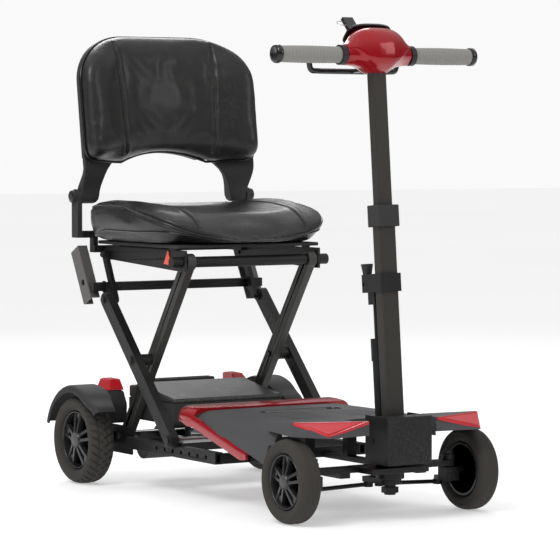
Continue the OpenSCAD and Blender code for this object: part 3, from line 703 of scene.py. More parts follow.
@dataclass(frozen=True)
class Axes:
    """A tilted frame in the X and Z plane."""

    origin: Vector
    lean: float

    def at(self, x: float, y: float, z: float) -> Vector:
        """The row-frame point of a local one."""
        c, s = math.cos(self.lean), math.sin(self.lean)
        return self.origin + Vector((x * c - z * s, y, x * s + z * c))

    def local(self, point: Vector) -> Vector:
        """The local point of a row-frame one."""
        c, s = math.cos(self.lean), math.sin(self.lean)
        x, y, z = point - self.origin
        return Vector((x * c + z * s, y, z * c - x * s))

    def move(self, points: Points) -> Points:
        """Local points, moved to the row frame."""
        c, s = math.cos(self.lean), math.sin(self.lean)
        local = np.asarray(points, float)
        turned = np.stack([local[..., 0] * c - local[..., 2] * s, local[..., 1],
                           local[..., 0] * s + local[..., 2] * c], axis=-1)
        return turned + np.array(self.origin)


TILLER = Axes(pivot("tiller_fold"), math.asin(-JOINTS["tiller_height"]["axis"][0]))
BAR_HEIGHT = 0.800  # the handlebar's height along the tiller, from its hinge


# ------------------------------------------------------------------ carried-over parts


@dataclass(frozen=True)
class Carried:
    """CAD parts that keep their shape and get a finish and rounded edges."""

    finish: Finish
    nodes: tuple[str, ...]
    edge: float = 1.0 * MM

    def build(self) -> None:
        """Dresses the nodes."""
        for name in self.nodes:
            piece = frame["nodes"][name]
            self.finish.dress(piece)
            for polygon in piece.data.polygons:
                polygon.use_smooth = True
            soften(piece, self.edge)
            LOG.info("carried %s", name)


CARRIED = (
    Carried(FRAME_PAINT, ("right_rail", "left_rail", "frame_cross_tubes", "frame_spines",
                          "front_axle_beam", "battery_tray", "seat_side_plates",
                          "steering_stem", "right_knuckle", "left_knuckle"), 0.8 * MM),
    Carried(FRAME_PAINT, ("seat_cross_tubes", "rear_links", "rear_cross_tube", "right_tie_rod",
                          "left_tie_rod", "gas_strut"), 1.2 * MM),
    Carried(FRAME_PAINT, ("tiller_yoke",), 6 * MM),
    Carried(ARM_PAINT, ("inner_arms",), 2.5 * MM),
    Carried(OUTER_ARM_PAINT, ("outer_arms",), 2.5 * MM),
    Carried(RECEIVER_PAINT, ("armrest_receivers",), 0.8 * MM),
    Carried(STEEL, ("pivot_shaft", "roller_shaft"), 0.6 * MM),
    Carried(CASTING, ("transaxle", "drive_motor"), 1.5 * MM),
    Carried(TUBE_PAINT, ("lower_tube", "upper_tube"), 0.4 * MM),
    Carried(BLACK_PLASTIC, ("tube_collar", "battery_case", "fold_lever"), 1.5 * MM),
    Carried(BLACK_PLASTIC, ("back_hinges", "back_shell", "seat_pan"), 2.5 * MM),
    Carried(LID_PLASTIC, ("battery_lid",), 5 * MM),
    Carried(BLACK_PLASTIC, ("battery_handle",), 2 * MM),
    Carried(BAR_BLACK, ("handlebar",), 1 * MM),
    Carried(GLOSSY_BLACK, ("dash_panel", "speed_dial"), 1.2 * MM),
    Carried(AMBER, ("horn_button",), 0.8 * MM),
    Carried(DECK_PLASTIC, ("front_cover",), 3 * MM),
    Carried(ORANGE_REFLECTOR, ("side_reflectors",), 0.8 * MM),
)


# ------------------------------------------------------------------ wheels


@dataclass
class Wheel:
    """One tyre with its rim."""

    side: Side
    end: str
    spokes: int = 5
    blocks: int = 34
    groove: float = 3.4 * MM
    rib_depth: float = 1.3 * MM
    ribs: tuple[float, ...] = (-0.36, -0.18, 0.0, 0.18, 0.36)
    squareness: float = 2.7
    ridge: float = 0.9 * MM
    web: float = 0.2

    def __post_init__(self) -> None:
        """Reads the wheel's place and size from its CAD tyre and rim."""
        low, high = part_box(f"{self.side.word}_{self.end}_tyre")
        self.centre = (low + high) / 2
        self.radius = (high.z - low.z) / 2
        self.width = high.y - low.y
        low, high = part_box(f"{self.side.word}_{self.end}_rim")
        self.seat = (high.z - low.z) / 2
        self.body = f"{self.side.word}_{self.end}_wheel"

    @property
    def knobbly(self) -> bool:
        """Whether the tyre has a block tread."""
        return self.end == "rear"

    def tread(self, turn: float, across: float) -> float:
        """The depth of the tread's grooves at a point.

        Args:
            turn: The share of a full turn.
            across: The place across the tyre, from -1 to 1.

        Returns:
            The depth in metres.
        """
        if not self.knobbly:
            near = min(abs(across - rib) for rib in self.ribs)
            return self.rib_depth * (1 - ease(0.02, 0.055, near))
        hand = 0.5 if across > 0 else 0.0
        phase = (turn * self.blocks + 0.9 * abs(across) + hand) % 1.0
        cross = 1 - ease(0.10, 0.17, abs(phase - 0.5))
        ring = 1 - ease(0.05, 0.09, abs(abs(across) - 0.34))
        return self.groove * max(cross * ease(0.02, 0.1, abs(across)), 0.8 * ring)

    def tyre(self) -> None:
        """Builds the tyre, with its tread and a ridge on each wall."""
        steps = 540 if self.knobbly else 144
        section = 84
        inner = self.seat + 0.4 * MM
        middle, tall = (self.radius + inner) / 2, (self.radius - inner) / 2
        half = self.width / 2
        power = 2 / self.squareness
        grid = np.zeros((steps, section, 3))
        for j in range(section):
            angle = TAU * j / section
            c, s = math.cos(angle), math.sin(angle)
            across = rounded(c, power)
            out = rounded(s, power)
            ridge = self.ridge if abs(across) > 0.6 else 0.0
            wall = ridge * math.exp(-((out - 0.35) / 0.07) ** 2)
            for i in range(steps):
                share = i / steps
                depth = self.tread(share, across) * ease(0.45, 0.75, out)
                r = middle + tall * out - depth
                y = (half - self.ridge + wall) * across
                grid[i, j] = (self.centre.x + r * math.sin(TAU * share), self.centre.y + y,
                              self.centre.z + r * math.cos(TAU * share))
        verts, faces = lattice(grid, True, True, False)
        name = f"{self.side.word}_{self.end}"
        publish(f"{name}_tread", verts, faces, TYRE, self.body, (f"{name}_tyre",), 50)

    def rim(self) -> None:
        """Builds the rim: lips, barrel, hub and pairs of spokes."""
        out, seat, half = self.side.value, self.seat, self.width / 2
        face = 0.58 * half
        hub = 0.31 * seat
        barrel = [(seat, -half * 0.72), (seat, face + 2 * MM),
                  (seat - 1.2 * MM, face + 3.4 * MM),
                  (seat - 3 * MM, face + 2.6 * MM), (seat - 4.4 * MM, face - 1 * MM),
                  (seat - 5 * MM, face - 8 * MM), (seat - 4.5 * MM, face - 14 * MM),
                  (seat - 4.5 * MM, -half * 0.72)]
        cap = [(hub, -half * 0.6), (hub + 2 * MM, face - 6 * MM), (hub, face + 1 * MM),
               (hub - 1.5 * MM, face + 5 * MM), (hub - 4 * MM, face + 7 * MM),
               (hub - 5 * MM, face + 6.2 * MM), (hub * 0.4, face + 6.8 * MM),
               (0.5 * MM, face + 7 * MM)]
        parts = [lathe(barrel, self.centre, 120, out), lathe(cap, self.centre, 72, out)]
        for k in range(self.spokes):
            for lean in (-1, 1):
                parts.append(self.spoke(TAU * k / self.spokes, lean, hub, face))
            parts.append(self.foot(TAU * k / self.spokes, face))
        verts, faces = merge(*parts)
        name = f"{self.side.word}_{self.end}"
        piece = publish(
            f"{name}_spokes", verts, faces, RIM_BLACK, self.body, (f"{name}_rim",), 35)
        soften(piece, 0.7 * MM, 2, 38)

    def polar(self, angle: float, radius: float, along: float) -> tuple[float, float, float]:
        """A point of the wheel from its angle, radius and distance outwards."""
        return (self.centre.x + radius * math.sin(angle),
                self.centre.y + self.side.value * along,
                self.centre.z + radius * math.cos(angle))

    def slab(self, angle: float, radius: float, half: float, low: float, high: float) -> list:
        """The four corners of a spoke's or web's section.

        Args:
            angle: The direction of the section's middle.
            radius: The section's radius.
            half: Half of the angle that the section takes up.
            low: The distance outwards of its inner side.
            high: The distance outwards of its outer side.

        Returns:
            The corners.
        """
        corners = ((-half, low), (-half, high), (half, high), (half, low))
        return [self.polar(angle + turn, radius, along) for turn, along in corners]

    def spoke(self, angle: float, lean: int, hub: float, face: float) -> tuple[Points, list]:
        """One spoke of a pair.

        Args:
            angle: The pair's direction.
            lean: Which spoke of the pair, -1 or 1.
            hub: The hub's radius.
            face: The distance of the rim's face.

        Returns:
            Points and faces.
        """
        rows = []
        reach = self.seat - 3.5 * MM
        for share in np.linspace(0, 1, 7):
            radius = hub * 0.8 + (reach - hub * 0.8) * share
            apart = lean * (0.052 + 0.05 * share) * self.seat * 1.75
            thick = (0.052 + 0.022 * abs(share - 0.35)) * self.seat
            top = face + (4 - 7 * share) * MM
            deep = face - (10 + 2 * share) * MM
            centre = angle + math.atan2(apart, radius)
            rows.append(self.slab(centre, radius, math.atan2(thick, radius), deep, top))
        return lattice(np.array(rows), False, True, True)

    def foot(self, angle: float, face: float) -> tuple[Points, list]:
        """The web with a blind boss that joins a pair of spokes at the rim."""
        reach = self.seat - 4 * MM
        rows = []
        for share in (0.0, 1.0):
            radius = reach - self.web * self.seat * (1 - share)
            half = math.atan2(0.22 * self.seat, radius)
            rows.append(self.slab(angle, radius, half, face - 11 * MM, face - 4 * MM))
        return lattice(np.array(rows), False, True, True)

    def build(self) -> None:
        """Builds the whole wheel."""
        self.tyre()
        self.rim()
        LOG.info("wheel %s %s", self.side.word, self.end)


# ------------------------------------------------------------------ upholstery


class Upholstery:
    """A padded piece that is inflated as cloth and then sewn."""

    frames = 18
    calming = 14
    wrinkle = 0.9 * MM

    def __init__(self, name: str, body: str, node: str, voxel: float, cap: float) -> None:
        """Keeps what every padded piece needs.

        Args:
            name: The piece's name.
            body: The body that it rides on.
            node: The CAD node that it replaces.
            voxel: The remesh size.
            cap: How far a point may move when inflated.
        """
        self.name, self.body, self.node = name, body, node
        self.voxel, self.cap = voxel, cap

    def remeshed(self, verts: Points, faces: list) -> bpy.types.Object:
        """An even mesh of the starting shape.

        Args:
            verts: The shape's points.
            faces: The shape's faces.

        Returns:
            The object, not yet dressed.
        """
        mesh = bpy.data.meshes.new(self.name)
        mesh.from_pydata([tuple(v) for v in verts], [], faces)
        outward(mesh)
        piece = bpy.data.objects.new(self.name, mesh)
        bpy.context.scene.collection.objects.link(piece)
        remesh = piece.modifiers.new("even", "REMESH")
        remesh.mode = "VOXEL"
        remesh.voxel_size = self.voxel
        relax = piece.modifiers.new("relax", "SMOOTH")
        relax.iterations = 4
        self.apply(piece)
        return piece

    @staticmethod
    def apply(piece: bpy.types.Object) -> None:
        """Bakes a piece's modifiers into its mesh."""
        shown = piece.evaluated_get(bpy.context.evaluated_depsgraph_get())
        mesh = bpy.data.meshes.new_from_object(shown)
        piece.modifiers.clear()
        piece.data = mesh

    def inflate(self, piece: bpy.types.Object, held: Callable[[Vector], float],
                pressure: float) -> None:
        """Swells the piece as sewn cloth under pressure.

        Args:
            piece: The remeshed piece.
            held: Gives 1 where a point is fixed and 0 where it is free.
            pressure: The pressure inside.
        """
        group = piece.vertex_groups.new(name="held")
        for vertex in piece.data.vertices:
            group.add([vertex.index], held(vertex.co), "REPLACE")
        cloth = piece.modifiers.new("cloth", "CLOTH")
        cloth.settings.vertex_group_mass = group.name
        cloth.settings.use_pressure = True
        cloth.settings.uniform_pressure_force = pressure
        cloth.settings.quality = 4
        cloth.settings.mass = 0.3
        cloth.settings.tension_stiffness = 18
        cloth.settings.compression_stiffness = 18
        cloth.settings.effector_weights.gravity = 0
        cloth.collision_settings.use_collision = False
        start = np.array([v.co for v in piece.data.vertices])
        scene = bpy.context.scene
        for step in range(1, self.frames + 1):
            scene.frame_set(step)
        shown = piece.evaluated_get(bpy.context.evaluated_depsgraph_get())
        swollen = np.array([v.co for v in shown.data.vertices])
        piece.modifiers.clear()
        scene.frame_set(1)
        shift = swollen - start
        length = np.linalg.norm(shift, axis=1, keepdims=True)
        shift *= np.minimum(1.0, self.cap / np.maximum(length, 1e-9))
        piece.data.vertices.foreach_set("co", (start + shift).astype(np.float32).ravel())
        piece.vertex_groups.clear()
        calm = piece.modifiers.new("calm", "SMOOTH")
        calm.iterations = self.calming
        self.apply(piece)

    def crease(self, piece: bpy.types.Object, seams: Sequence[Sequence[Vector]], depth: float,
               width: float) -> None:
        """Pulls the surface in along seams and adds slight tension wrinkles.

        Args:
            piece: The mesh.
            seams: Lines on the surface.
            depth: The depth of the channel.
            width: The channel's half width.
        """
        split = piece.modifiers.new("fine", "SUBSURF")
        split.levels = split.render_levels = 1
        self.apply(piece)
        lines = [np.array([tuple(p) for p in seam]) for seam in seams]
        every = np.concatenate(lines)
        piece.data.update()
        verts = np.array([v.co for v in piece.data.vertices])
        normals = np.array([v.normal for v in piece.data.vertices])
        for start in range(0, len(verts), 4000):
            part = slice(start, start + 4000)
            gap = np.linalg.norm(verts[part, None, :] - every[None], axis=2).min(axis=1)
            pull = depth * np.exp(-((gap / width) ** 2)) - 0.28 * depth * np.exp(
                -(((gap - 2.6 * width) / (1.3 * width)) ** 2))
            verts[part] -= normals[part] * pull[:, None]
        for k, point in enumerate(verts):
            fold = noise.noise(Vector((point[0] * 16, point[1] * 16, point[2] * 34)))
            verts[k] += normals[k] * (self.wrinkle * fold)
        piece.data.vertices.foreach_set("co", verts.astype(np.float32).ravel())
        piece.data.update()

    def dressed(self, piece: bpy.types.Object, fill: float) -> None:
        """Finishes the padded piece.

        Args:
            piece: The final mesh.
            fill: How tight it is stuffed, from 0 to 1; not used.
        """
        piece.data.shade_smooth()
        LEATHER.dress(piece)
        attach(piece, self.body)
        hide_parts(self.node)
        LOG.info("padded %s, %d faces", piece.name, len(piece.data.polygons))

    @staticmethod
    def tree(piece: bpy.types.Object) -> BVHTree:
        """A search tree of the piece's faces."""
        return BVHTree.FromPolygons([v.co.copy() for v in piece.data.vertices],
                                    [tuple(p.vertices) for p in piece.data.polygons])

    @staticmethod
    def dropped(tree: BVHTree, point: Vector, way: Vector,
                reach: float = 0.12) -> Vector | None:
        """Where a ray that starts in front of the surface meets it.

        Args:
            tree: The surface.
            point: A point near the surface.
            way: The ray's direction.
            reach: How far in front the ray starts.

        Returns:
            The meeting point, if there is one.
        """
        return tree.ray_cast(point - way * reach, way, 2 * reach)[0]

    def pipe(self, suffix: str, line: Sequence[Vector], radius: float, closed: bool) -> None:
        """Adds a piped edge along a line.

        Args:
            suffix: The end of the piece's name.
            line: The line to follow.
            radius: The piping's radius.
            closed: Whether the line is a loop.
        """
        verts, faces = sweep(line, radius, 10, closed)
        publish(f"{self.name}_{suffix}", verts, faces, PIPING, self.body, (), 60)

    def stitch(self, suffix: str, rows: Sequence[Sequence[Vector]], tree: BVHTree) -> None:
        """Adds raised stitches along rows.

        Args:
            suffix: The end of the piece's name.
            rows: Lines on the surface.
            tree: The surface, for the stitches' height.
        """
        pitch, length, radius = 5.2 * MM, 3.6 * MM, 0.62 * MM
        parts = []
        for row in rows:
            travelled, place = 0.0, 0.0
            for a, b in zip(row, row[1:]):
                step = (b - a).length
                while place < travelled + step:
                    centre = a.lerp(b, (place - travelled) / step)
                    along = (b - a).normalized() * (length / 2)
                    found = tree.find_nearest(centre)
                    lift = found[1] * (0.25 * MM)
                    ends = [found[0] + lift - along, found[0] + lift + along]
                    middle = [ends[0], ends[0].lerp(ends[1], 0.2) + lift * 1.6,
                              ends[0].lerp(ends[1], 0.8) + lift * 1.6, ends[1]]
                    parts.append(sweep(middle, radius, 6))
                    place += pitch
                travelled += step
        verts, faces = merge(*parts)
        publish(f"{self.name}_{suffix}", verts, faces, THREAD, self.body, (), 80)


class SeatCushion(Upholstery):
    """The saddle-shaped seat: raised sides, a dished middle and a rolled front edge."""

    def __init__(self) -> None:
        """Reads the cushion's size from its CAD solid."""
        super().__init__("seat_cover", "seat", "seat_cushion", 5 * MM, 9 * MM)
        low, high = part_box("seat_cushion")
        self.low, self.high = low, high
        self.centre = Vector(((low.x + high.x) / 2, 0, 0))
        self.half_x, self.half_y = (high.x - low.x) / 2 + 3 * MM, high.y + 2 * MM
        self.seam_y = 0.66 * self.half_y

    def seam_height(self, x: float, y: float) -> float:
        """The height of the upper seam at a place given from -1 to 1 both ways."""
        forward = max(0.0, x)
        drop = (47 * forward ** 0.95 + 15 * forward ** 8 + 20 * (1 - y * y) * forward ** 4) * MM
        rear = 11 * MM * ease(0.4, 1.0, -x)
        return self.high.z - 1 * MM - drop - rear

    def hem_height(self, x: float, y: float) -> float:
        """The height of the lower edge at the same kind of place."""
        hem = self.low.z + 7 * MM + 21 * MM * ease(-0.95, -0.35, x) * ease(0.3, 0.95, abs(y))
        return min(hem, self.seam_height(x, y) - 5 * MM)

    def outline(self, turn: float, inset: float = 0.0) -> tuple[float, float]:
        """The plan outline, from -1 to 1 both ways.

        Args:
            turn: The angle round the seat.
            inset: How far inside the outline the point lies, in metres.

        Returns:
            The place along X and Y.
        """
        c, s = math.cos(turn), math.sin(turn)
        power = 2 / (4.6 if c > 0 else 6.0)
        x = rounded(c, power)
        y = rounded(s, power)
        if c > 0:
            y *= 1 - 0.03 * c * c
        return x * (1 - inset / self.half_x), y * (1 - inset / self.half_y)

    def ring(self, scale: float, height: Callable[[float, float], float], count: int = 160,
             inset: float = 0.0) -> Points:
        """One ring of points round the seat.

        Args:
            scale: The ring's size, 1 at the outline.
            height: The height at a place given from -1 to 1 both ways.
            count: Points in the ring.
            inset: An inset in metres.

        Returns:
            The points.
        """
        rows = []
        for turn in np.linspace(0, TAU, count, endpoint=False):
            x, y = self.outline(turn, inset)
            rows.append((self.centre.x + self.half_x * x * scale, self.half_y * y * scale,
                         height(x * scale, y * scale)))
        return np.array(rows)

    def top(self, x: float, y: float, scale: float) -> float:
        """The height of the upholstered top.

        Args:
            x: The place along X from -1 to 1.
            y: The place along Y from -1 to 1.
            scale: The ring's size, 1 at the outline.

        Returns:
            The height in metres.
        """
        forward = max(0.0, x)
        dish = 24 * MM * (1 - abs(y) ** 2.6) * (1 - 0.5 * ease(0.3, 1.0, x))
        dish *= ease(1.0, 0.7, -x)
        field_z = self.high.z + 6 * MM - dish
        field_z -= (30 + 14 * (1 - y * y)) * MM * forward ** 2.2
        field_z -= 12 * MM * ease(0.55, 1.0, -x)
        if scale < 0.8:
            return field_z
        edge_x, edge_y = x / scale, y / scale
        seam = self.seam_height(edge_x, edge_y)
        share = (scale - 0.8) / 0.2
        return seam + (field_z - seam) * math.sqrt(max(0.0, 1 - share ** 2.2))

    def build(self) -> None:
        """Builds the cover, its piping and its stitching."""
        scales = (0.02, 0.15, 0.3, 0.45, 0.6, 0.72, 0.8, 0.86, 0.91, 0.95, 0.98, 0.993)
        rings = [self.ring(s, lambda x, y, s=s: self.top(x, y, s)) for s in scales]
        seam = self.ring(1.0, self.seam_height)
        rings.append(seam)
        for share in (0.2, 0.4, 0.6, 0.8, 1.0):
            bulge = 4 * MM * math.sin(math.pi * share)
            rings.append(self.ring(1.0, lambda x, y, t=share: (1 - t) * self.seam_height(x, y)
                                   + t * self.hem_height(x, y), inset=7 * MM * share - bulge))
        foot = rings[-1]
        for scale in (0.9, 0.78, 0.5, 0.02):
            rings.append(self.ring(scale, lambda x, y: self.low.z + 1 * MM, inset=7 * MM))
        verts, faces = lattice(np.array(rings), False, True, True)
        piece = self.remeshed(verts, faces)
        self.inflate(piece, lambda p: 1.0 if p.z < self.low.z + 6 * MM else 0.0, 2.6)
        tree = self.tree(piece)
        edge = self.snapped(tree, seam)
        hem = self.snapped(tree, foot)
        runs = [self.channel(tree, side * self.seam_y) for side in (-1, 1)]
        self.crease(piece, [*runs, edge], 3.4 * MM, 3.6 * MM)
        tree = self.tree(piece)
        rows = [[p + Vector((0, offset, 0)) for p in self.channel(tree, side * self.seam_y)]
                for side in (-1, 1) for offset in (-4.2 * MM, 4.2 * MM)]
        self.stitch("stitches", rows, tree)
        self.pipe("piping", self.raised(tree, edge, 2.4 * MM), 2.8 * MM, True)
        self.pipe("hem", self.raised(tree, hem, 0.8 * MM), 2.1 * MM, True)
        self.dressed(piece, 0.7)

    @staticmethod
    def raised(tree: BVHTree, line: Sequence[Vector], lift: float) -> list[Vector]:
        """A line of points, moved to stand a little above the surface."""
        found = [tree.find_nearest(point) for point in line]
        return [place + normal * lift for place, normal, _, _ in found]

    def snapped(self, tree: BVHTree, ring: Points) -> list[Vector]:
        """A ring of points moved onto the surface."""
        return [tree.find_nearest(Vector(p))[0] for p in ring]

    def channel(self, tree: BVHTree, y: float) -> list[Vector]:
        """A sewn channel that runs front to back on the top.

        Args:
            tree: The surface.
            y: The channel's place across the seat.

        Returns:
            The channel's points.
        """
        found = []
        for share in np.linspace(-0.9, 0.93, 60):
            across = y * (1 - 0.07 * share)
            start = Vector((self.centre.x + self.half_x * share, across, self.high.z))
            hit = self.dropped(tree, start, Vector((0, 0, -1)))
            if hit:
                found.append(hit)
        return found


class Backrest(Upholstery):
    """The curved backrest pad with its piping, sewn channels and lower rim."""

    def __init__(self) -> None:
        """Reads the pad's place from its CAD solid and its hinge."""
        super().__init__("back_cover", "backrest", "back_cushion", 5 * MM, 9 * MM)
        self.axes = Axes(pivot("backrest_fold"), math.radians(8))
        self.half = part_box("back_shell")[1].y
        self.top = 0.374
        self.bottom = 0.076
        self.corner = Vector((0.138, 0.104))
        self.crown = 0.009
        self.bend = 0.520
        self.arch_radius, self.arch_z = 0.262, -0.160
        self.thick = 0.040
        self.middle = 0.235
        self.foot = 0.026

    def edge(self, turn: float, inset: float) -> tuple[float, float]:
        """The pad's outline seen from the front.

        Args:
            turn: The angle round the pad's middle.
            inset: How far inside the outline the point lies.

        Returns:
            The place along Y and the height above the hinge.
        """
        half, bottom = self.half - inset, self.bottom + inset
        direction = Vector((math.cos(turn), math.sin(turn)))
        low, high = 0.0, 0.6
        for _ in range(40):
            reach = (low + high) / 2
            y, z = abs(direction.x * reach), self.middle + direction.y * reach
            fits = self.inside(y, z, half, bottom, inset)
            low, high = (reach, high) if fits else (low, reach)
        return direction.x * low, self.middle + direction.y * low

    def inside(self, y: float, z: float, half: float, bottom: float, inset: float) -> bool:
        """Whether a point lies inside the pad's outline.

        Args:
            y: The distance from the middle plane.
            z: The height above the hinge.
            half: The outline's half width.
            bottom: The outline's lower edge.
            inset: How far inside the real outline this one lies.

        Returns:
            True for a point inside.
        """
        if y > half or z < bottom or math.hypot(y, z - self.arch_z) < self.arch_radius + inset:
            return False
        share = min(1.0, max(0.0, (y - half + self.corner.x) / self.corner.x))
        roof = self.top - inset - self.crown * (y / half) ** 2
        roof -= self.corner.y * (1 - math.sqrt(1 - share * share))
        foot = self.foot
        dy, dz = y - (half - foot), bottom + foot - z
        return z <= roof and not (dy > 0 and dz > 0 and math.hypot(dy, dz) > foot)

    def sag(self, y: float, out: float = 0.0) -> float:
        """How far forward the curve stands at a place across it, out in front of the shell."""
        radius = self.bend - out
        return self.bend - 3 * MM - math.sqrt(max(radius * radius - y * y, 1e-6))

    def curved(self, y: float, z: float, out: float) -> Vector:
        """A point on the curved pad.

        Args:
            y: The place across the pad.
            z: The height above the hinge.
            out: The distance in front of the shell.

        Returns:
            The point in the row frame.
        """
        return self.axes.at(self.sag(y, out), y, z)

    def ring(self, inset: float, scale: float, out: float, count: int = 180) -> Points:
        """One ring of points round the pad.

        Args:
            inset: How far inside the outline the ring lies.
            scale: The ring's size.
            out: The distance in front of the shell.
            count: Points in the ring.

        Returns:
            The points.
        """
        rows = []
        for turn in np.linspace(0, TAU, count, endpoint=False):
            y, z = self.edge(turn, inset)
            y, z = y * scale, self.middle + (z - self.middle) * scale
            swell = 7 * MM * math.exp(-((abs(y) / self.half - 0.86) / 0.16) ** 2)
            rows.append(tuple(self.curved(y, z, out + swell * min(1.0, out / self.thick))))
        return np.array(rows)

    def held(self, point: Vector) -> float:
        """1 on the back of the pad, which the shell holds, and 0 elsewhere."""
        local = self.axes.local(point)
        return 1.0 if local.x - self.sag(local.y) < 6 * MM else 0.0

    def build(self) -> None:
        """Builds the cover, its piping and its stitching."""
        thick = self.thick
        rings = [self.ring(5 * MM, 0.02, 1.5 * MM), self.ring(5 * MM, 0.6, 1.5 * MM),
                 self.ring(5 * MM, 0.96, 1.5 * MM)]
        border = self.ring(1 * MM, 1.0, 5 * MM)
        rings.append(border)
        for inset, out in ((0.5, 0.35), (2.5, 0.6), (7, 0.8), (14, 0.93), (24, 1.0)):
            rings.append(self.ring(inset * MM, 1.0, out * thick))
        for scale in (0.8, 0.6, 0.4, 0.2, 0.02):
            rings.append(self.ring(24 * MM, scale, thick * (1.0 + 0.06 * (1 - scale))))
        verts, faces = lattice(np.array(rings), False, True, True)
        piece = self.remeshed(verts, faces)
        self.inflate(piece, self.held, 1.6)
        tree = self.tree(piece)
        runs = [self.channel(tree, side) for side in (-1, 1)]
        self.crease(piece, runs, 3.2 * MM, 3.4 * MM)
        tree = self.tree(piece)
        rows = []
        for side in (-1, 1):
            line = self.channel(tree, side)
            rows += [[p + Vector((0, offset, 0)) for p in line] for offset in (-4 * MM, 4 * MM)]
        self.stitch("stitches", rows, tree)
        self.pipe("piping", [Vector(p) for p in border], 3.0 * MM, True)
        self.dressed(piece, 0.75)

    def channel(self, tree: BVHTree, side: int) -> list[Vector]:
        """A sewn channel that runs up the front of the pad."""
        found = []
        way = self.axes.at(-1, 0, 0) - self.axes.at(0, 0, 0)
        for height in np.linspace(self.bottom + 0.020, self.top - 0.024, 60):
            y = side * (0.112 + 0.02 * (height / self.top))
            hit = self.dropped(tree, self.curved(y, height, self.thick), way)
            if hit:
                found.append(hit)
        return found


@dataclass
class BackLegs:
    """The moulded legs that widen from the hinge pins up into the shell."""

    wall: float = 13 * MM
    tip: float = 16.5 * MM
    eye: float = 15 * MM
    levels: tuple[tuple[float, float, float], ...] = (
        (106, 104, 226), (96, 113, 227), (84, 127, 227.5), (72, 141, 227.5), (60, 152, 227),
        (48, 160, 226.5), (36, 166, 226), (24, 171, 225), (12, 174.5, 223.5), (0, 176.5, 222.5),
        (-9, 178.5, 222), (-14, 182, 220), (-16.5, 188, 215))

    def build(self, backrest: Backrest) -> None:
        """Builds both legs.

        Args:
            backrest: The pad, whose frame and curve the legs follow.
        """
        for side in Side:
            rows = []
            for height, inner, outer in self.levels:
                blend = ease(0, 62, height)
                front, back = [], []
                for share in np.linspace(0, 1, 9):
                    y = (inner + (outer - inner) * share) * MM
                    bend = backrest.sag(y)
                    below = min(0.0, height * MM) / self.tip
                    near = self.eye * math.sqrt(max(0.0, 1 - below ** 2))
                    front.append((near + (bend - near) * blend, side.value * y, height * MM))
                    rear = bend - self.wall
                    back.append((-near + (rear + near) * blend, side.value * y, height * MM))
                rows.append(front + back[::-1])
            verts, faces = lattice(np.array(rows), False, True, True)
            name = f"{side.word}_back_leg"
            stands = ("back_legs",) if side is Side.RIGHT else ()
            piece = publish(name, backrest.axes.move(verts), faces, BLACK_PLASTIC, "backrest",
                            stands, 50)
            soften(piece, 3 * MM, 3, 50)
            self.knob(backrest, side)
        LOG.info("back legs")

    def knob(self, backrest: Backrest, side: Side) -> None:
        """The round lock button on the outer end of a hinge pin."""
        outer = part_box("back_hinges")[1].y - 1 * MM
        pin = backrest.axes.origin
        centre = Vector((pin.x, side.value * outer, pin.z))
        profile = [(12.5 * MM, 0), (12.5 * MM, 1.6 * MM), (11 * MM, 3 * MM),
                   (7.4 * MM, 3.2 * MM), (6.6 * MM, 2.2 * MM), (0.4 * MM, 2.2 * MM)]
        verts, faces = lathe(profile, centre, 48, side.value)
        publish(f"{side.word}_hinge_button", verts, faces, GLOSSY_BLACK, "seat", (), 40)


# ------------------------------------------------------------------ base


@dataclass
class LensCovers:
    """Red lens covers with a bevelled border and a raised middle panel."""

    node: str
    border: float
    rise: float = 2.4 * MM
    flatness: float = 0.6
    least_area: float = 0.0004

    def build(self) -> None:
        """Builds the covers from their CAD outline."""
        work = bmesh.new()
        work.from_mesh(frame["nodes"][self.node].data)
        bmesh.ops.remove_doubles(work, verts=work.verts, dist=0.01 * MM)
        bmesh.ops.dissolve_limit(work, angle_limit=math.radians(1.0), verts=work.verts,
                                 edges=work.edges)
        tops = [face for face in work.faces
                if face.normal.z > self.flatness and face.calc_area() > self.least_area]
        for share, depth in ((1.0, -0.4), (0.45, 1.0)):
            bmesh.ops.inset_region(work, faces=tops, thickness=self.border * share,
                                   depth=self.rise * depth, use_even_offset=False)
        mesh = bpy.data.meshes.new(self.node)
        work.to_mesh(mesh)
        work.free()
        piece = bpy.data.objects.new(f"{self.node}_cover", mesh)
        bpy.context.scene.collection.objects.link(piece)
        mesh.shade_smooth()
        RED_LENS.dress(piece)
        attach(piece, "base")
        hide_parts(self.node)
        soften(piece, 1.4 * MM, 3, 20)
        LOG.info("lens covers %s", self.node)


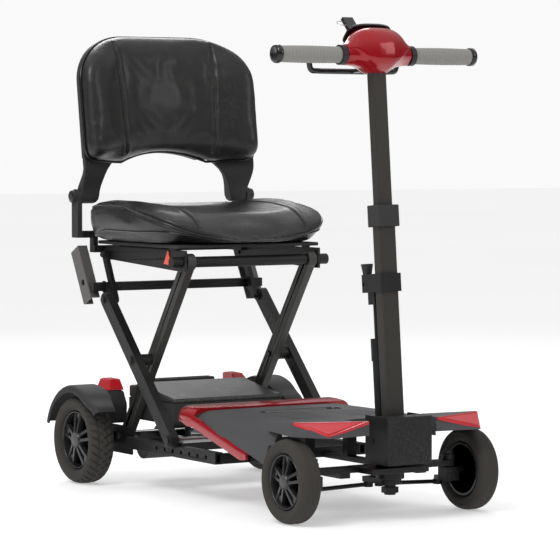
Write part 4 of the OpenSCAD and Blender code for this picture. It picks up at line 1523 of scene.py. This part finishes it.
@dataclass
class Fender:
    """A moulded arch over a rear wheel."""

    side: Side
    gap: float = 26 * MM
    wall: float = 3.4 * MM
    start: float = -74.0
    end: float = 58.0

    def build(self) -> None:
        """Builds the arch with a rolled outer lip and a flared front tail."""
        tyre_low, tyre_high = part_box(f"{self.side.word}_rear_tyre")
        centre = (tyre_low + tyre_high) / 2
        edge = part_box("rear_fenders")[1].y
        radius = (tyre_high.z - tyre_low.z) / 2 + self.gap
        sign = self.side.value
        outer, inner = edge - 1 * MM, edge - 70 * MM
        rows = []
        for degrees in np.linspace(self.start, self.end, 72):
            angle = math.radians(degrees)
            flare = ease(30, self.end, degrees)
            tail = 14 * MM * flare * flare
            narrow = (inner + 14 * MM * flare, outer - 4 * MM * flare)
            section = self.section(radius + tail, narrow[0], narrow[1])
            rows.append([(centre.x + r * math.sin(angle), sign * y,
                          centre.z + r * math.cos(angle)) for y, r in section])
        verts, faces = lattice(np.array(rows), False, True, True)
        name = f"{self.side.word}_fender_arch"
        piece = publish(name, verts, faces, BLACK_PLASTIC, "base", (), 50)
        if self.side is Side.LEFT:
            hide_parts("rear_fenders")
        self.bracket(centre, inner)
        LOG.info("fender %s", self.side.word)

    def section(self, radius: float, inner: float, outer: float) -> list[tuple[float, float]]:
        """The closed section of the arch, as pairs of Y and radius."""
        wall, lip, roll = self.wall, 17 * MM, 11 * MM
        bends = [math.radians(a) for a in (90, 70, 50, 30, 12, 0)]
        top = [(inner, radius - 2 * MM), (inner + 6 * MM, radius)]
        top += [(outer - roll + roll * math.cos(a), radius - roll + roll * math.sin(a))
                for a in bends]
        top.append((outer, radius - lip))
        under = [(outer - wall, radius - lip)]
        inside = roll - wall
        under += [(outer - roll + inside * math.cos(a), radius - roll + inside * math.sin(a))
                  for a in reversed(bends)]
        under += [(inner + 6 * MM, radius - wall), (inner, radius - 2 * MM - wall)]
        return top + under

    def bracket(self, centre: Vector, inner: float) -> None:
        """The moulded housing inboard of the arch, under the tail lens."""
        low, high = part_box("tail_lenses")
        sign = self.side.value
        top = low.z - 0.3 * MM
        outline = [(centre.x - 62 * MM, top - 74 * MM), (centre.x + 30 * MM, top - 74 * MM),
                   (centre.x + 32 * MM, top - 30 * MM), (high.x + 1 * MM, top),
                   (low.x - 2 * MM, top), (centre.x - 62 * MM, top - 26 * MM)]
        ends = sorted((sign * 149 * MM, sign * (inner + 1 * MM)))
        verts, faces = prism(outline, *ends)
        piece = publish(f"{self.side.word}_lamp_housing", verts, faces, BLACK_PLASTIC, "base")
        soften(piece, 6 * MM, 4)


@dataclass
class Deck:
    """The moulded foot deck with rounded sides, its red trim and the hand slot."""

    crown: float = 46 * MM
    drop: float = 44 * MM
    wall: float = 3 * MM
    arch_gap: float = 44.5 * MM
    groove: float = 2.2 * MM
    slot: tuple[float, float] = (20 * MM, 98 * MM)
    slot_from_rear: float = 114 * MM
    ridge_rows: int = 5
    first_ridge: float = 170 * MM
    ridge_pitch: float = 24 * MM

    def __post_init__(self) -> None:
        """Reads the deck's size from its CAD parts."""
        self.low, self.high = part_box("deck_shell")
        self.trim_low, self.trim_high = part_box("deck_trim")
        wheel_low, wheel_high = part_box("left_front_tyre")
        self.axle = (wheel_low + wheel_high) / 2
        self.arch = (wheel_high.z - wheel_low.z) / 2 + self.arch_gap
        self.half = self.high.y
        self.slope = math.tan(math.radians(15))

    def lower_edge(self, x: float) -> float:
        """The height of the side wall's lower edge at a place along X."""
        along = self.strip_top(x)
        base = max(self.low.z, along)
        reach = self.arch ** 2 - (x - self.axle.x) ** 2
        if reach > 0:
            base = max(base, self.axle.z + math.sqrt(reach))
        return min(base, self.high.z - self.drop - 1 * MM)

    def strip_top(self, x: float) -> float:
        """The upper edge of the sloping strip."""
        return self.trim_high.z - 3.4 * MM - (x - self.trim_low.x - 16 * MM) * self.slope

    def section(self, x: float) -> list[tuple[float, float]]:
        """The deck's outer surface across the scooter at a place along X."""
        rise = 1.2 * MM * math.sin(math.pi * (x - self.low.x) / (self.high.x - self.low.x))
        top = self.high.z + rise
        flat = self.half - self.crown
        half = [(flat * share, top + 1.0 * MM * (1 - share ** 2))
                for share in np.linspace(0, 1, 16)]
        for angle in np.linspace(0, math.pi / 2, 14)[1:]:
            half.append((flat + self.crown * math.sin(angle),
                         top - self.drop * (1 - math.cos(angle))))
        foot = self.lower_edge(x)
        start = half[-1][1]
        half += [(self.half, start + (foot - start) * share)
                 for share in np.linspace(0, 1, 8)[1:]]
        return [(-y, z) for y, z in reversed(half[1:])] + half

    def build(self) -> None:
        """Builds the shell, the slot's lining and the trim."""
        stations = np.linspace(self.low.x, self.high.x + 4 * MM, 74)
        grid = np.array([[(x, y, z) for y, z in self.section(x)] for x in stations])
        verts, faces = lattice(grid, False, False, False)
        piece = publish("deck_moulding", verts, faces, DECK_PLASTIC, "base",
                        ("deck_shell",), 50)
        self.face_up(piece.data)
        thick = piece.modifiers.new("wall", "SOLIDIFY")
        thick.thickness = self.wall
        thick.offset = -1
        self.carve_slot(piece)
        self.slot_lining()
        self.trim()
        self.ridges()
        LOG.info("deck")

    @staticmethod
    def face_up(mesh: bpy.types.Mesh) -> None:
        """Turns an open sheet over if its middle faces down."""
        best = max(mesh.polygons, key=lambda p: p.center.z - abs(p.center.y))
        if best.normal.z < 0:
            mesh.flip_normals()

    def slot_ring(self, grow: float, height: float, count: int = 72) -> Points:
        """A stadium-shaped ring round the slot."""
        wide, long = self.slot
        centre = self.low.x + self.slot_from_rear
        rows = []
        for turn in np.linspace(0, TAU, count, endpoint=False):
            c, s = math.cos(turn), math.sin(turn)
            y = s * (wide + grow) + math.copysign(long - wide, s)
            rows.append((centre + c * (wide + grow), y, height))
        return np.array(rows)

    def carve_slot(self, piece: bpy.types.Object) -> None:
        """Cuts the hand slot through the shell."""
        top = self.high.z
        rings = [self.slot_ring(0, top - 30 * MM), self.slot_ring(0, top + 20 * MM)]
        verts, faces = lattice(np.array(rings), False, True, True)
        cutter = publish("slot_cutter", verts, faces, DECK_PLASTIC, "base")
        cut = piece.modifiers.new("slot", "BOOLEAN")
        cut.operation = "DIFFERENCE"
        cut.solver = "EXACT"
        cut.object = cutter
        Upholstery.apply(piece)
        bpy.data.objects.remove(cutter)
        piece.data.shade_smooth()
        piece.data.set_sharp_from_angle(angle=math.radians(35))
        DECK_PLASTIC.dress(piece)

    def slot_lining(self) -> None:
        """A thin rolled liner round the slot."""
        top = self.high.z + 2.2 * MM
        section = ((-0.4, -16), (-0.4, -0.6), (0.8, 0.9), (3.0, 0.6), (3.6, -1.2), (1.2, -3),
                   (1.2, -16))
        rings = [self.slot_ring(grow * MM, top + rise * MM) for grow, rise in section]
        verts, faces = lattice(np.array(rings), True, True, False)
        publish("slot_liner", verts, faces, GLOSSY_BLACK, "base", (), 40)

    def trim(self) -> None:
        """The gloss band across the rear of the deck and the strip down each side."""
        low, high = self.trim_low, self.trim_high
        rear, front = low.x + 13 * MM, self.low.x - 0.4 * MM
        radius, flat = 24 * MM, self.half + 1.2 * MM
        bend = [(flat - radius + radius * math.sin(a), -radius * (1 - math.cos(a)))
                for a in np.linspace(0, math.pi / 2, 12)]
        half_line = [((flat - radius) * share, 0.0) for share in np.linspace(0, 1, 14)[:-1]]
        half_line += bend + [(flat, -radius - 7 * MM), (flat - 1.5 * MM, -radius - 8.5 * MM)]
        line = [(-y, z) for y, z in reversed(half_line[1:])] + half_line
        inward = 12 * MM
        rows = []
        for y, fall in line:
            lean = min(1.0, -fall / radius)
            tuck = math.copysign(inward * lean, y)
            drop = inward * (1 - lean)
            top = high.z + fall
            rows.append([
                (rear + 3 * MM, y - tuck, top - drop), (rear, y - tuck / 2, top - drop / 2),
                (rear + 1 * MM, y - tuck * 0.12, top - drop * 0.12), (rear + 5 * MM, y, top),
                (rear + 28 * MM, y, top), (front - 5 * MM, y - tuck * 0.1, top - 2 * MM),
                (front, y - tuck * 0.3, top - 4 * MM), (front, y - tuck, top - drop - 2 * MM)])
        verts, faces = lattice(np.array(rows), False, True, True)
        publish("trim_band", verts, faces, RED_LACQUER, "base", ("deck_trim",), 50)
        for side in Side:
            self.strip(side)

    def strip(self, side: Side) -> None:
        """One sloping strip on the deck's side."""
        rear = self.trim_low.x + 13.4 * MM
        end = self.trim_high.x - 2 * MM
        rows = []
        for share in np.linspace(0, 1, 40):
            x = rear + (end - rear) * share
            top = min(self.strip_top(x) - 0.8 * MM, self.trim_high.z - 18 * MM)
            tall = 25.5 * MM * (1 - 0.35 * ease(0.9, 1.0, share))
            sweep_cut = 9 * MM * (1 - ease(0.0, 0.12, share))
            bottom = top - tall + sweep_cut
            y = self.half - 1 * MM
            section = ((-5, top), (0.2, top), (1.2, top - 2.5 * MM), (1.2, bottom + 2.5 * MM),
                       (0.2, bottom), (-5, bottom))
            rows.append([(x, side.value * (y + out * MM), z) for out, z in section])
        verts, faces = lattice(np.array(rows), False, True, True)
        publish(f"{side.word}_side_strip", verts, faces, RED_LACQUER, "base", (), 50)

    def ridges(self) -> None:
        """Low foot ridges moulded into the deck's top."""
        parts = []
        height = self.high.z + 1.6 * MM
        for k in range(self.ridge_rows):
            x = self.low.x + self.first_ridge + self.ridge_pitch * k
            for side in (-1, 1):
                path = [Vector((x, side * y * MM, height)) for y in (26, 60, 118)]
                parts.append(sweep(path, (2.6 * MM, 1.1 * MM), 8))
        verts, faces = merge(*parts)
        publish("foot_ridges", verts, faces, DECK_PLASTIC, "base", (), 50)


# ------------------------------------------------------------------ tiller


@dataclass
class Console:
    """The lacquered cowl round the middle of the handlebar."""

    bar: float = BAR_HEIGHT
    half: float = 0.079
    squareness: float = 2.3
    seam: float = 2.6 * MM
    panel_tilt: float = 40.0
    profile: dict[str, tuple[float, ...]] = field(default_factory=lambda: {
        "y": (0.0, 0.25, 0.45, 0.6, 0.72, 0.82, 0.92, 1.0),
        "top": (0.058, 0.0575, 0.055, 0.050, 0.042, 0.0315, 0.0245, 0.0215),
        "foot": (0.040, 0.0385, 0.0285, 0.0245, 0.0225, 0.0218, 0.0213, 0.0208),
        "front": (0.044, 0.043, 0.039, 0.034, 0.030, 0.0265, 0.0235, 0.0215),
        "rear": (0.050, 0.048, 0.043, 0.037, 0.031, 0.026, 0.0230, 0.0210),
    })

    def size(self, name: str, share: float) -> float:
        """One of the cowl's half sizes at a share of its half width."""
        known = self.profile
        smooth = np.interp(share, known["y"], known[name])
        around = [np.interp(min(1.0, max(0.0, share + step)), known["y"], known[name])
                  for step in (-0.06, 0.06)]
        return float((smooth * 2 + sum(around)) / 4)

    def point(self, share: float, turn: float) -> Vector:
        """A point on the cowl, before it is cut flat under the panel.

        Args:
            share: The place across the scooter, from -1 to 1.
            turn: The angle round the handlebar.

        Returns:
            The point in the row frame.
        """
        side = abs(share)
        c, s = math.cos(turn), math.sin(turn)
        power = 2 / (self.squareness + (0.9 * ease(0.0, 0.6, 1 - side) if s < 0 else 0.0))
        x = rounded(c, power) * self.size("front" if c > 0 else "rear", side)
        z = rounded(s, power) * self.size("top" if s > 0 else "foot", side)
        x *= 1 - (0.34 + 0.14 * ease(0.5, 0.0, side)) * ease(0.1, 1.0, -s)
        lip = ease(-0.10, 0.04, s + 0.95 - 1.55 * side ** 1.15) * ease(0.05, 0.5, c)
        return TILLER.at(x + self.seam * lip - 2 * MM, share * self.half, self.bar + z)

    def build(self) -> None:
        """Builds the cowl, the bezel round its panel and the pivot lug."""
        panel_low, panel_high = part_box("dash_panel")
        lean = TILLER.lean + math.radians(self.panel_tilt)
        face = Vector((-math.sin(lean), 0, math.cos(lean)))
        seat = (panel_low + panel_high) / 2 - face * (3.2 * MM)
        rows = []
        for share in np.linspace(-1, 1, 81):
            ring = []
            for turn in np.linspace(0, TAU, 64, endpoint=False):
                point = self.point(share, turn)
                above = (point - seat).dot(face)
                if above > 0:
                    point -= face * above
                ring.append(tuple(point))
            rows.append(ring)
        verts, faces = lattice(np.array(rows), False, True, True)
        piece = publish("console_cowl", verts, faces, RED_LACQUER, "upper_tiller",
                        ("console_shell",), 40)
        split = piece.modifiers.new("fine", "SUBSURF")
        split.levels = split.render_levels = 1
        self.surround(seat, face)
        self.lug()
        LOG.info("console")

    def surround(self, seat: Vector, face: Vector) -> None:
        """The black bezel round the instrument panel.

        Args:
            seat: The middle of the plane that it lies on.
            face: The plane's normal.
        """
        up = face.cross(Vector((0, 1, 0))).normalized()
        rows = []
        section = ((-3.0, 1.0), (1.2, 1.0), (2.6, 0.97), (3.2, 0.92), (3.2, 0.5), (3.2, 0.02))
        for rise, grow in section:
            ring = []
            for turn in np.linspace(0, TAU, 72, endpoint=False):
                c, s = math.cos(turn), math.sin(turn)
                along = rounded(c, 0.55) * 31 * MM * grow
                across = rounded(s, 0.7) * 54 * MM * grow
                ring.append(tuple(seat + up * along + Vector((0, across, 0))
                                  + face * (rise * MM)))
            rows.append(ring)
        verts, faces = lattice(np.array(rows), False, True, True)
        publish("dash_bezel", verts, faces, GLOSSY_BLACK, "upper_tiller", (), 45)

    def lug(self) -> None:
        """The black bracket behind the cowl that the throttle turns in."""
        place = TILLER.local(pivot("throttle_turn"))
        low = (place.x - 9 * MM, -11 * MM, self.bar - 12 * MM)
        high = (place.x + 34 * MM, 11 * MM, self.bar)
        verts, faces = block(low, high)
        piece = publish("throttle_bracket", TILLER.move(verts), faces, BLACK_PLASTIC,
                        "upper_tiller")
        soften(piece, 3 * MM, 3)


@dataclass
class Grips:
    """The two rubber grips, each with an end cap."""

    ribs: int = 17
    bar: float = BAR_HEIGHT

    def build(self) -> None:
        """Builds both grips."""
        low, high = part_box("hand_grips")
        length, radius = high.y, (high.z - low.z) / 2
        bore, inner, cap = 12.2 * MM, 92 * MM, 13 * MM
        centre = TILLER.at(0, 0, self.bar)
        for side in Side:
            sleeve = [(bore, inner), (radius - 1.5 * MM, inner)]
            steps = 150
            for k in range(steps + 1):
                share = k / steps
                along = inner + 2 * MM + (length - cap - inner - 2 * MM) * share
                barrel = 0.9 * MM * math.sin(math.pi * share)
                rib = 0.55 * MM * (0.5 + 0.5 * math.cos(TAU * self.ribs * share))
                depth = rib * ease(0.03, 0.08, share)
                sleeve.append((radius - 1.3 * MM + barrel - depth, along))
            sleeve.append((bore, length - cap))
            verts, faces = lathe(sleeve, centre, 64, side.value)
            stands = ("hand_grips",) if side is Side.RIGHT else ()
            publish(f"{side.word}_grip", verts, faces, GRIP, "upper_tiller", stands, 50)
            end = [(bore, length - cap), (radius + 0.3 * MM, length - cap + 0.2 * MM),
                   (radius + 0.9 * MM, length - cap + 2 * MM),
                   (radius + 0.6 * MM, length - 3.5 * MM),
                   (radius - 1.2 * MM, length - 1 * MM), (radius - 4.5 * MM, length - 0.2 * MM),
                   (radius - 5.5 * MM, length - 1.2 * MM), (0.5 * MM, length - 1.4 * MM)]
            verts, faces = lathe(end, centre, 64, side.value)
            publish(f"{side.word}_grip_cap", verts, faces, GLOSSY_BLACK, "upper_tiller", (), 50)
        LOG.info("grips")


@dataclass
class Throttle:
    """The U-shaped throttle paddle under the handlebar."""

    def build(self) -> None:
        """Builds the paddle as one bent bar with a centre boss."""
        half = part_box("throttle_paddle")[1].y - 6 * MM
        pin = TILLER.local(pivot("throttle_turn"))
        back, base = pin.x - 24 * MM, pin.z + 4 * MM
        bends = ((3, half, 27), (1, half, 14), (0, half - 5 * MM, 2), (0, half - 20 * MM, 0),
                 (-3, half / 2, 0))
        points = [Vector((back + x * MM, -y, base + z * MM)) for x, y, z in bends]
        points.append(Vector((back - 4 * MM, 0, base)))
        points += [Vector((back + x * MM, y, base + z * MM)) for x, y, z in reversed(bends)]
        bar = sweep(smooth_path(points, 8), 6 * MM, 14)
        arm = block((back - 4 * MM, -7 * MM, pin.z), (pin.x + 6 * MM, 7 * MM, pin.z + 7.6 * MM))
        top = pin + Vector((0, 0, 15.6 * MM))
        boss = sweep([pin, top], 7.6 * MM, 32, flat=Vector((1, 0, 0)))
        verts, faces = merge(bar, arm, boss)
        publish("throttle_bar", TILLER.move(verts), faces, GLOSSY_BLACK, "throttle",
                ("throttle_paddle",), 45)
        LOG.info("throttle")


@dataclass
class KeyRing:
    """The ignition key's moulded bow and the split ring through it."""

    def build(self) -> None:
        """Dresses the key and builds the ring."""
        Carried(GLOSSY_BLACK, ("ignition_key",), 2 * MM).build()
        axis = Vector(JOINTS["key_turn"]["axis"])
        centre = pivot("key_turn") + axis * (38 * MM) + Vector((0, -13 * MM, 0))
        radius = 11 * MM
        sideways = Vector((0, 1, 0))
        slope = axis.cross(sideways).normalized() * 0.35 + axis * 0.94
        path = []
        for turn in np.linspace(0, TAU, 40, endpoint=False):
            path.append(centre + sideways * (radius * math.cos(turn) - 6 * MM)
                        - axis * (4 * MM) + slope * (radius * math.sin(turn)))
        verts, faces = sweep(path, 0.8 * MM, 8, True)
        publish("key_ring", verts, faces, STEEL, "key", (), 60)
        LOG.info("key ring")


# ------------------------------------------------------------------ fasteners


@dataclass
class Fasteners:
    """Round bolt heads at the joints."""

    tall: float = 6 * MM

    def head(self, name: str, centre: Vector, radius: float, side: int, body: str) -> None:
        """A bolt head on a washer, facing along Y.

        Args:
            name: The piece's name.
            centre: The middle of the face that it sits on.
            radius: The head's radius.
            side: The sign of Y that it faces.
            body: The body that it rides on.
        """
        tall = self.tall
        washer = lathe([(radius * 1.35, 0), (radius * 1.35, tall * 0.22),
                        (radius * 1.25, tall * 0.3), (0.3 * MM, tall * 0.3)], centre, 32, side)
        crown = lathe([(radius, tall * 0.3), (radius, tall * 0.85), (radius * 0.86, tall),
                       (0.3 * MM, tall)], centre, 24, side)
        verts, faces = merge(washer, crown)
        publish(name, verts, faces, BAR_BLACK, body, (), 25)

    def build(self) -> None:
        """Places the heads at the scissor joints, hinges and axles."""
        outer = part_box("outer_arms")[1].y
        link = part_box("rear_links")[1].y + 0.6 * MM
        roller_low, roller_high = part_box("roller_shaft")
        spots = {
            "crossing_bolt": (pivot("crossing_pivot"), outer, "outer_scissor", 8 * MM),
            "upper_arm_bolt": (pivot("carrier_level"), outer, "outer_scissor", 7.5 * MM),
            "roller_cap": ((roller_low + roller_high) / 2, outer, "outer_scissor", 10 * MM),
            "link_bolt": (pivot("link_pivot"), link, "seat", 6 * MM),
        }
        for name, (place, y, body, radius) in spots.items():
            for side in Side:
                centre = Vector((place.x, side.value * y, place.z))
                self.head(f"{side.word}_{name}", centre, radius, side.value, body)
        LOG.info("fasteners")


# ------------------------------------------------------------------ stage


@dataclass
class Studio:
    """A pale floor, soft light and the camera."""

    turn: float = 57.875
    tilt: float = 2.856
    distance: float = 6.359
    aim: tuple[float, float, float] = (0.02111, 0.01223, 0.47712)
    lens: float = 185.24
    horizon: float = 0.10
    zenith: float = 0.90
    backdrop: float = 0.95
    reach: float = 30.0
    aim_height: float = 0.4

    def camera(self) -> None:
        """Makes the scene's camera."""
        turn, tilt = math.radians(self.turn), math.radians(self.tilt)
        look = Vector((-math.sin(turn) * math.cos(tilt), math.cos(turn) * math.cos(tilt),
                       -math.sin(tilt)))
        data = bpy.data.cameras.new("camera")
        data.lens = self.lens
        data.sensor_width = 36
        data.clip_end = 60
        camera = bpy.data.objects.new("camera", data)
        camera.location = Vector(self.aim) - look * self.distance
        camera.rotation_mode = "QUATERNION"
        camera.rotation_quaternion = look.to_track_quat("-Z", "Y")
        bpy.context.scene.collection.objects.link(camera)
        bpy.context.scene.camera = camera

    def lamp(self, name: str, place: Sequence[float], size: float, watts: float) -> None:
        """Adds one soft area light that faces the scooter.

        Args:
            name: The light's name.
            place: Where it hangs.
            size: The length of its side.
            watts: Its power.
        """
        data = bpy.data.lights.new(name, "AREA")
        data.shape = "SQUARE"
        data.size = size
        data.energy = watts
        lamp = bpy.data.objects.new(name, data)
        lamp.location = place
        lamp.rotation_mode = "QUATERNION"
        ray = Vector((0, 0, self.aim_height)) - Vector(place)
        lamp.rotation_quaternion = ray.to_track_quat("-Z", "Y")
        bpy.context.scene.collection.objects.link(lamp)

    def floor(self) -> None:
        """Adds the wide flat floor."""
        mesh = bpy.data.meshes.new("floor")
        corners = ((-1, -1), (1, -1), (1, 1), (-1, 1))
        mesh.from_pydata([(x * self.reach, y * self.reach, 0) for x, y in corners], [],
                         [(0, 1, 2, 3)])
        floor = bpy.data.objects.new("floor", mesh)
        bpy.context.scene.collection.objects.link(floor)
        graph = Graph("pale_floor")
        haze = graph.noise(0.7, 2)
        colour = graph.tint(haze, (0.66, 0.66, 0.66), (0.7, 0.7, 0.7))
        mesh.materials.append(graph.finish(
            Base_Color=colour, Roughness=0.55 + 0.1 * haze, Emission_Color=(1.0, 1.0, 1.0),
            Emission_Strength=0.42, Specular_IOR_Level=0.2))

    def sky(self) -> None:
        """Makes the soft overhead light, dimmer round the horizon than above."""
        world = bpy.data.worlds.new("studio")
        world.use_nodes = True
        bpy.context.scene.world = world
        tree = world.node_tree
        back = tree.nodes["Background"]
        place = tree.nodes.new("ShaderNodeTexCoord")
        split = tree.nodes.new("ShaderNodeSeparateXYZ")
        ramp = tree.nodes.new("ShaderNodeMapRange")
        sight = tree.nodes.new("ShaderNodeLightPath")
        pick = tree.nodes.new("ShaderNodeMix")
        ramp.interpolation_type = "SMOOTHSTEP"
        for name, value in (("From Min", 0.05), ("From Max", 0.85), ("To Min", self.horizon),
                            ("To Max", self.zenith)):
            ramp.inputs[name].default_value = value
        pick.inputs["B"].default_value = self.backdrop
        for start, end in ((place.outputs["Generated"], split.inputs["Vector"]),
                           (split.outputs["Z"], ramp.inputs["Value"]),
                           (sight.outputs["Is Camera Ray"], pick.inputs["Factor"]),
                           (ramp.outputs["Result"], pick.inputs["A"]),
                           (pick.outputs["Result"], back.inputs["Strength"])):
            tree.links.new(start, end)
        back.inputs["Color"].default_value = (1, 1, 1, 1)

    def build(self) -> None:
        """Builds the whole stage."""
        self.camera()
        self.floor()
        self.sky()
        bpy.context.scene.view_settings.view_transform = "Standard"
        self.lamp("key", (1.2, -2.8, 3.4), 1.8, 92)
        self.lamp("fill", (3.4, 2.6, 2.4), 1.6, 20)
        self.lamp("back", (-3.0, 1.2, 3.0), 1.8, 50)
        LOG.info("studio")


def main() -> None:
    """Builds the scooter in order and reports each piece."""
    logging.basicConfig(level=logging.INFO, format="%(name)s: %(message)s")
    Studio().build()
    for group in CARRIED:
        group.build()
    for side in Side:
        for end in ("rear", "front"):
            Wheel(side, end).build()
        Fender(side).build()
    LensCovers("front_lenses", 5 * MM).build()
    LensCovers("tail_lenses", 3 * MM).build()
    Deck().build()
    SeatCushion().build()
    backrest = Backrest()
    backrest.build()
    BackLegs().build(backrest)
    Console().build()
    Grips().build()
    Throttle().build()
    KeyRing().build()
    Fasteners().build()


if __name__ == "__main__":
    main()
